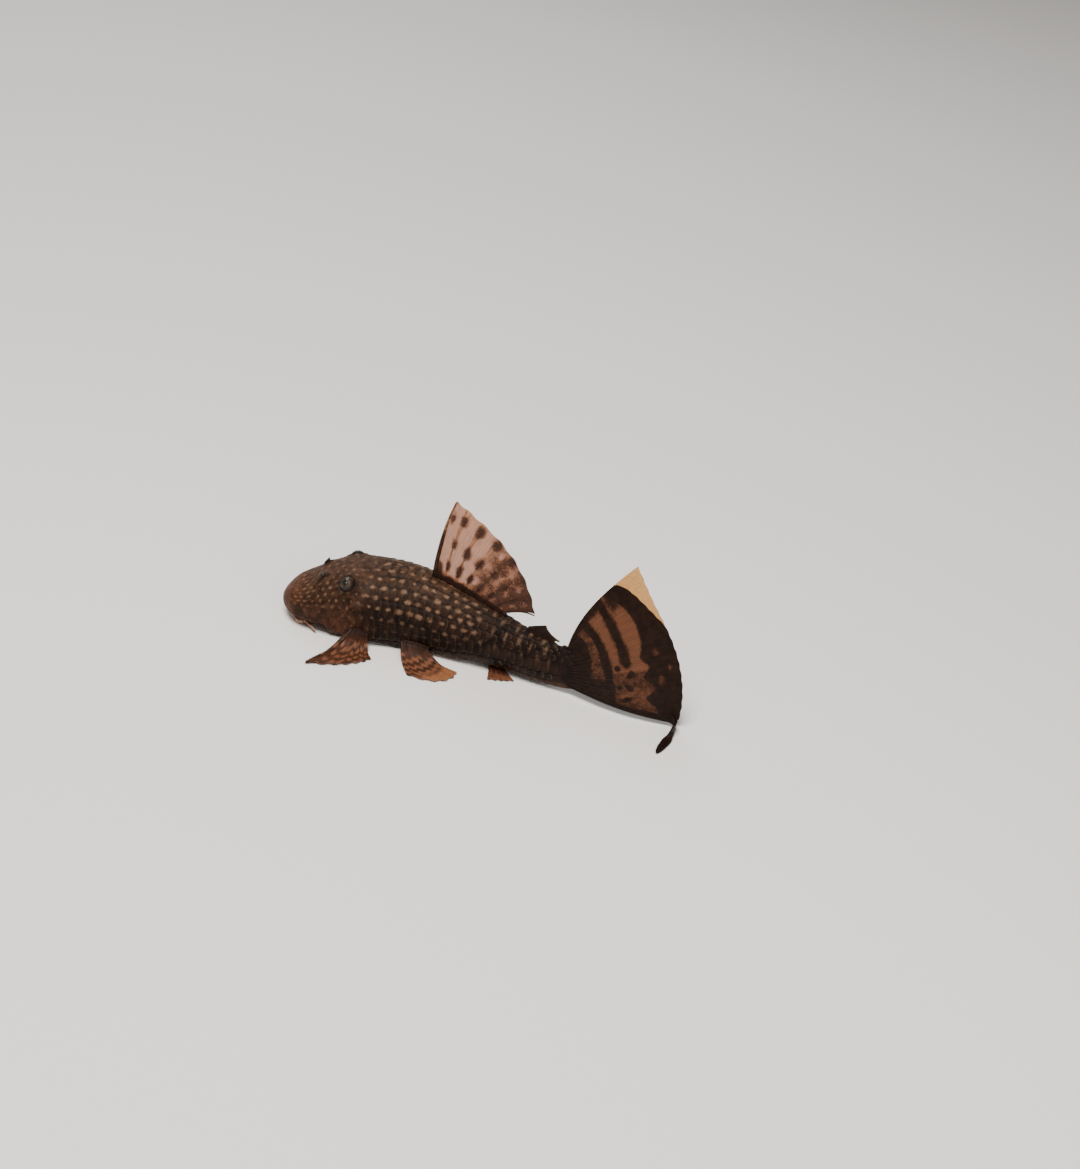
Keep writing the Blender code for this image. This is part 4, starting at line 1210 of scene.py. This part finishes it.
def caudal_marks(number, out):
    """The bands: a dark foot, two dark bands, a broad dark one from the third band to the
    margin, with pale spots in it, and the cream corner on the upper rays. Between them it is
    tan. Each band is a bell or a step in how far out a place is, shifted from ray to ray."""
    near_top = hump(number, 0.0, 2.2)
    foot = 1 - 0.92 * ease(out, 0.245 - 0.002 * number - 0.07 * near_top, 0.285 - 0.07 * near_top)
    first = hump(out, 0.362 + 0.003 * number + 0.0003 * number ** 2 - 0.05 * near_top, 0.060)
    second = hump(out, 0.548 + 0.0045 * number, 0.056) * fall(number, 8.0, 9.2)
    step = 0.715 + 0.010 * np.abs(number - 5) - 0.16 * hump(number, 0.0, 1.8)
    step = step + 0.018 * hump(number, 4.5, 1.2) - 0.055 * ease(number, 5.5, 7.5)
    step = step + 0.036 * np.sin(number * 2.5 - 1.1) * ease(number, 7.0, 9.0)
    third = ease(out, step, step + 0.07)
    pale_spots = np.maximum(hump(number, 7.4, 0.6), hump(number, 10.4, 0.7))
    pale_spots = 0.50 * hump(out, 0.850, 0.040) * pale_spots
    pale_spots = pale_spots + 0.55 * hump(out, 0.83, 0.05) * hump(number, 14.2, 0.5)
    pale_spots = pale_spots + 0.45 * hump(out, 0.93, 0.03) * hump(number, 9.2, 0.5)
    third = third * (1 - pale_spots)
    broken = hump(out, 0.595 + 0.020 * np.sin(number * 2.2 + 0.4), 0.040) * ease(number, 8.4, 9.0)
    broken = broken * (0.66 + 0.48 * np.sin(number * 3.6 - 1.2) + 0.25 * waves(number * 4, out * 60))
    broken = np.maximum(broken, hump(out, 0.500, 0.034) * hump(number, 8.5, 0.55))
    broken = np.maximum(broken, hump(out, 0.515, 0.034) * hump(number, 11.4, 0.55))
    low_edge = ease(number, 13.9, 14.6)
    haze = 0.50 * ease(number, 8.5, 12.0) * fall(out, 0.42, 0.55) + 0.42 * ease(number, 8.5, 11.0)
    haze = np.maximum(haze, 0.52 * fall(out, 0.34, 0.46))
    haze = np.maximum(haze, 0.56 * ease(number, 8.6, 9.4) * (1 - 0.25 * hump(number, 12.2, 1.0)))
    crown = fall(number, 0.3, 1.6) * 0.75 * fall(out, 0.55, 0.7)
    crown = np.maximum(crown, 0.68 * fall(number, 1.2, 3.2) * hump(out, 0.66, 0.10))
    parts = np.broadcast_arrays(foot, first, second, broken, third, low_edge * 0.9, crown, haze)
    dark = np.max(parts, axis=0)
    inner_edge = 0.755 + 0.245 * kept(number / 5.6) ** 0.60
    cream = ease(out, inner_edge - 0.02, inner_edge + 0.02) * (number < 5.8)
    return fin_values(out, dark, 0.5, 0.15, cream)


LOBE_MIDDLE = 14.9


def caudal_hook(number, out):
    """The curled lobe: the lowest rays, which turn over past the bend and lie flat on the floor,
    drawn together towards the lobe's round end."""
    curled = kept(out)
    width = (1 - 0.35 * ease(curled, 0.82, 0.97)) * np.sqrt(np.clip((1 - curled) / 0.06, 0.0025, 1.0))
    upright = caudal_curl(LOBE_MIDDLE + (number - LOBE_MIDDLE) * width, out)
    middle = LOBE_MIDDLE + 0 * number
    run = caudal_curl(middle, out + 0.004) - caudal_curl(middle, out - 0.004)
    middle = caudal_curl(middle, out)
    beside = unit(np.cross(run, (0.0, 0.0, 1.0)))
    flat = middle + beside * (upright[..., 2:] - middle[..., 2:] - 0.00045 * width[..., None])
    over = ease(curled, 0.77, 0.87)[..., None]
    turned_over = upright * (1 - over) + flat * over
    turned_over[..., 2:] = turned_over[..., 2:] * (1 - 0.9 * over) + 0.00014 * over
    return turned_over


def hook_marks(number, out):
    """Dark all over."""
    return {"dark": 1.0 + 0 * out, "cream": 0 * out, "solid": 0.3 + 0 * out}


banded_web = web_finish(
    "banded_web", (0.136, 0.051, 0.0240), (0.0080, 0.0030, 0.0015), (0.58, 0.30, 0.115), (0.93, 1.0), 300.0,
)
banded_bone = web_finish("banded_bone", (0.148, 0.060, 0.0290), (0.0082, 0.0034, 0.0018), (0.60, 0.33, 0.14))
pieces = make_fin(
    "caudal", "", caudal_fin, caudal_marks, (banded_web, banded_bone),
    (np.linspace(0.0, 14.42, 15 * 11 + 1), 130, WEB_WALL, 0.0),
    (range(1, CAUDAL_RAYS - 1), 0.42, 0.21, (0.00021, 0.00006), 30),
)
edge_sheets = [
    fin_ray(caudal_fin, 0.02, RAY_FOOT, RAY_END, 0.0, (0.00027, 0.00007), 26, caudal_marks, (0, 0, 0.45, 1)),
    fin_ray(caudal_hook, 14.70, RAY_FOOT, 0.97, 0.0, (0.00018, 0.00008), 34, hook_marks, (0.5, 0, 0.45, 1)),
]
pieces.append(make_piece("caudal_edge_rays", edge_sheets, banded_bone))
lobe = (np.linspace(13.95, 15.0, 24), 170, 0.00020, 0.0)
pieces += make_fin("caudal_hook", "", caudal_hook, hook_marks, (banded_web,), lobe)
for piece in pieces:
    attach(piece, "root")
    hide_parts("caudal_fin")


# The pectoral fins: a stout spine with small thorns and six soft rays behind the head on each
# side, spread on the floor. The web is mottled reddish brown.
PAIRED_SWEEP = 10.0
PAIRED_LANDING = 0.55
PECTORAL_BASE = (0.262, 0.325)
PECTORAL_RAYS = 7
PECTORAL_ROOT_HEIGHTS = (0.050, 0.042)
PECTORAL_ANGLES = {1: (55.0, 116.0), -1: (86.0, 146.0)}
PECTORAL_LENGTHS = (0.200, 0.080)


def paired_fin(side, base, heights, angles, lengths, bulge, count):
    """A fin that fans out from the lower flank to the floor. It gives a point by the number of
    the ray and how far out on it. A ray's direction turns evenly on its way out, so its run
    ahead and aside are sines and cosines of it, and its height falls off to the landing."""
    reach = [float(half_width(at)) + FIN_GAP for at in base]
    sweep = math.radians(PAIRED_SWEEP)

    def fin(number, out):
        share = number / (count - 1)
        along = from_to(base, share)
        angle = np.radians(from_to(angles, share))
        length = from_to(lengths, kept(share) ** 0.8)
        length = length - 0.006 * web_notch(number) + bulge * np.sin(math.pi * share)
        grown = kept(out)
        first, last = angle + sweep * (1 / 16 - 0.5), angle + sweep * (grown + 1 / 16 - 0.5)
        ahead = length * (np.sin(last) - np.sin(first)) / sweep
        aside = length * (np.cos(first) - np.cos(last)) / sweep
        height = from_to(heights, share) * kept(1 - grown / PAIRED_LANDING) ** 1.6
        spot = place(along, side * (from_to(reach, share) + aside - 0.030 * sunk(out)), height)
        turn = heading(along)
        spot[..., 0] -= ahead * np.cos(turn) * STANDARD_LENGTH
        spot[..., 1] -= ahead * np.sin(turn) * STANDARD_LENGTH
        spot[..., 2] += 0.00020 + 0.00010 * web_notch(number) * grown
        return spot
    return fin


def pectoral_marks(number, out):
    """Mottled: pale patches in uneven rows across the rays, and a dark spine and foot."""
    whole = np.round(number * 1.3)
    pale = 0.5 + 0.5 * np.sin(out * 24 + 1.9 * whole + 0.8 * np.sin(number * 5))
    pale = pale * (0.4 + 0.6 * np.cos(math.pi * (number * 1.3 - whole)) ** 2)
    dark = 0.78 - 0.62 * pale * ease(out, 0.12, 0.25) + 0.25 * fall(number, 0.2, 0.5)
    dark = np.maximum(dark, fall(out, 0.05, 0.16))
    return fin_values(out, dark, 0.5, 0.2)


mottled_web = web_finish(
    "mottled_web", (0.22, 0.085, 0.042), (0.030, 0.0110, 0.0055), (0.60, 0.33, 0.16), (0.72, 0.95), 120.0,
)
mottled_bone = web_finish("mottled_bone", (0.23, 0.092, 0.045), (0.030, 0.0115, 0.0060), (0.60, 0.33, 0.16))
PAIRED_RAYS = (0.00019, 0.00006)
PECTORAL_SPINE = (0.00044, 0.00018)
THORN_ROWS = (0.3, 1.2, 2.1)
THORNS_IN_ROW = 34
for side_name, side in SIDES:
    fin = paired_fin(
        side, PECTORAL_BASE, PECTORAL_ROOT_HEIGHTS, PECTORAL_ANGLES[side], PECTORAL_LENGTHS, 0.0,
        PECTORAL_RAYS,
    )
    pieces = make_fin(
        "pectoral", "_" + side_name, fin, pectoral_marks, (mottled_web, mottled_bone),
        (ray_numbers(PECTORAL_RAYS, 16), 90, WEB_WALL, 0.00050),
        (range(1, PECTORAL_RAYS), 0.50, 0.19, PAIRED_RAYS, 22),
        (RAY_END, PECTORAL_SPINE),
    )
    out = np.repeat(np.linspace(0.12, 0.93, THORNS_IN_ROW), len(THORN_ROWS))
    turn = np.tile(THORN_ROWS, THORNS_IN_ROW) + 0.4 * (scatter(out * 31, out * 17, 3.0) - 0.5)
    front = 0 * out
    normal = fin_normal(fin, front, out)
    normal = normal * np.sign(normal[:, 2:])
    forward = unit(fin(front - 0.01, out) - fin(front + 0.01, out))
    away = normal * np.sin(turn)[:, None] + forward * np.cos(turn)[:, None]
    outwards = unit(fin(front, np.minimum(out + 0.01, 1)) - fin(front, out - 0.01))
    middle = fin(front, out)
    set_in = np.minimum(from_to(PECTORAL_SPINE, out) * 0.85, middle[:, 2])
    feet = middle + away * set_in[:, None]
    lengths, widths = 0.00020 + 0.00016 * out, np.full(len(out), 0.00005)
    direction = away * 0.62 + outwards * 0.78
    thorns = make_spines("pectoral_thorns_" + side_name, feet, direction, away, lengths, widths, tooth_bone)
    for piece in (*pieces, thorns):
        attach(piece, "root")
    for piece in pieces:
        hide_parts("pectoral_fin_" + side_name)


# The pelvic fins: a spine and five soft rays on each side of the belly, spread on the floor,
# dark and mottled with a tan rim.
PELVIC_BASE = (0.470, 0.565)
PELVIC_RAYS = 6
PELVIC_ROOT_HEIGHTS = (0.040, 0.034)
PELVIC_ANGLES = (124.0, 172.0)
PELVIC_LENGTHS = (0.138, 0.128)
PELVIC_BULGE = 0.040


def pelvic_marks(number, out):
    """Dark mottled at the foot and in the middle, with a tan rim that widens to the rear."""
    whole = np.round(number * 1.2)
    pale = 0.5 + 0.5 * np.sin(out * 30 + 2.3 * whole)
    dark = 0.84 - 0.54 * pale * ease(out, 0.15, 0.3)
    rim = ease(out, 0.80 - 0.07 * number, 1.02 - 0.07 * number) * ease(number, 0.4, 1.6)
    dark = np.maximum(dark, fall(out, 0.05, 0.2)) * (1 - 0.75 * rim)
    return fin_values(out, dark, 0.5, 0.2, 0.48 * rim)


rimmed_web = web_finish(
    "rimmed_web", (0.25, 0.098, 0.047), (0.030, 0.0118, 0.0062), (0.44, 0.175, 0.072), (0.72, 0.95), 120.0,
)
for side_name, side in SIDES:
    fin = paired_fin(
        side, PELVIC_BASE, PELVIC_ROOT_HEIGHTS, PELVIC_ANGLES, PELVIC_LENGTHS, PELVIC_BULGE, PELVIC_RAYS,
    )
    for piece in make_fin(
        "pelvic", "_" + side_name, fin, pelvic_marks, (rimmed_web, mottled_bone),
        (ray_numbers(PELVIC_RAYS, 18), 90, WEB_WALL, 0.00040),
        (range(1, PELVIC_RAYS), 0.48, 0.19, PAIRED_RAYS, 22),
        (RAY_END, (0.00032, 0.00012)),
    ):
        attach(piece, "root")
        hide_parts("pelvic_fin_" + side_name)


# The anal fin: a short spine and four soft rays under the tail, folded back and laid over to
# the left on the floor.
ANAL_BASE = (0.735, 0.770)
ANAL_RAYS = 5
ANAL_ANGLES = (60.0, 32.0)
ANAL_LENGTHS = (0.118, 0.105)


def anal_fin(number, out):
    """A point of the fin: straight rays that lie on the floor, turned out by an angle that
    falls from the first to the last. Below 0 out, they run up into the tail."""
    share = number / (ANAL_RAYS - 1)
    angle = np.radians(from_to(ANAL_ANGLES, share))
    length = from_to(ANAL_LENGTHS, share) - 0.005 * web_notch(number)
    grown = kept(out)
    along = from_to(ANAL_BASE, share) + grown * length * np.cos(angle)
    height = 0.0045 + 0.022 * sunk(out) + 0.010 * fall(grown, 0.0, 0.3)
    return place(along, grown * length * np.sin(angle), height)


def anal_marks(number, out):
    """Reddish brown with a row of darker spots on the rays and a dark foot."""
    whole = np.round(number)
    marks = hump(out, 0.55 + 0.03 * whole, 0.08) * hump(number, whole, 0.3)
    return fin_values(out, np.maximum(0.45 + 0.5 * marks, fall(out, 0.08, 0.3)), 0.4, 0.2)


for piece in make_fin(
    "anal", "", anal_fin, anal_marks, (mottled_web, mottled_bone),
    (ray_numbers(ANAL_RAYS, 14), 70, WEB_WALL, 0.0),
    (range(0, ANAL_RAYS), 0.5, 0.18, (0.00017, 0.00006), 20),
):
    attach(piece, "root")
    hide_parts("anal_fin")


# The floor: a plain pale sheet that the model rests on. It isn't part of the fish.
FLOOR_HALF_SIDE = 4.0
FLOOR_DROP = 0.00001
corners = np.array([(-1, -1, 0), (1, -1, 0), (1, 1, 0), (-1, 1, 0)]) * FLOOR_HALF_SIDE - (0, 0, FLOOR_DROP)
floor_mesh = bpy.data.meshes.new("floor")
floor_mesh.from_pydata(corners.tolist(), [], [(0, 1, 2, 3)])
paper = new_finish("pale_floor")
cloud = noise_of(paper, where_on(paper), 0.4)
surface_of(
    paper, Base_Color=blend_of(paper, cloud, (0.84, 0.82, 0.80), (0.88, 0.86, 0.84)), Roughness=0.8,
    Specular_IOR_Level=0.2,
)
floor_mesh.materials.append(paper)
set_out("floor", floor_mesh)


# The light: a soft lamp high over the fish's left flank, a weak one beyond its tail, another
# high up behind its right side, and a pale sky all round.
LAMPS_FACE = (0.012, 0.0, 0.008)


def standing(right, up, back, at):
    """The place and turn of a lamp or camera, from its three axes and its point."""
    pose = np.eye(4)
    pose[:3] = np.stack([right, up, back, at], -1)
    return Matrix(pose.tolist())


def add_lamp(name, at, size, power, tone):
    """A square lamp that faces the middle of the fish."""
    lamp_data = bpy.data.lights.new(name, "AREA")
    lamp_data.size = size
    lamp_data.energy = power
    lamp_data.color = tone
    back = unit(np.array(at) - np.array(LAMPS_FACE))
    right = unit(np.cross((0.0, 0.0, 1.0), back))
    set_out(name, lamp_data).matrix_world = standing(right, np.cross(back, right), back, at)


add_lamp("key_lamp", (-0.04, -0.17, 0.44), 0.20, 3.3, (1.0, 0.95, 0.90))
add_lamp("side_lamp", (0.35, -0.30, 0.22), 0.30, 0.6, (1.0, 0.96, 0.92))
add_lamp("back_lamp", (-0.20, 0.36, 0.34), 0.30, 0.7, (0.97, 0.98, 1.0))
sky = bpy.data.worlds.new("pale_sky")
sky.use_nodes = True
sky.node_tree.nodes["Background"].inputs["Color"].default_value = (1.0, 0.97, 0.94, 1.0)
sky.node_tree.nodes["Background"].inputs["Strength"].default_value = 0.24
bpy.context.scene.world = sky


# The camera: it stands to the left of the fish and above it, turned a little about its own
# line of sight, and its long side is the picture's height.
CAMERA_AZIMUTH = math.radians(7.8047)
CAMERA_ELEVATION = math.radians(28.7369)
CAMERA_ROLL = math.radians(7.9767)
CAMERA_DISTANCE = 0.2892
CAMERA_TARGET = np.array((0.0179, 0.0, 0.0121))
CAMERA_HALF_VIEW = math.radians(15.0)
SENSOR_WIDTH = 36.0
PICTURE_WIDTH = 1080
PICTURE_HEIGHT = 1169
back = np.array((
    math.sin(CAMERA_AZIMUTH) * math.cos(CAMERA_ELEVATION),
    -math.cos(CAMERA_AZIMUTH) * math.cos(CAMERA_ELEVATION),
    math.sin(CAMERA_ELEVATION),
))
level = np.array((math.cos(CAMERA_AZIMUTH), math.sin(CAMERA_AZIMUTH), 0.0))
upright = np.cross(back, level)
right = level * math.cos(CAMERA_ROLL) + upright * math.sin(CAMERA_ROLL)
up = -level * math.sin(CAMERA_ROLL) + upright * math.cos(CAMERA_ROLL)
camera_data = bpy.data.cameras.new("camera")
camera_data.sensor_fit = "AUTO"
camera_data.sensor_width = SENSOR_WIDTH
camera_data.lens = SENSOR_WIDTH / 2 / (math.tan(CAMERA_HALF_VIEW) * PICTURE_HEIGHT / PICTURE_WIDTH)
camera_data.clip_start = 0.005
camera = set_out("camera", camera_data)
camera.matrix_world = standing(right, up, back, CAMERA_TARGET + back * CAMERA_DISTANCE)
bpy.context.scene.camera = camera
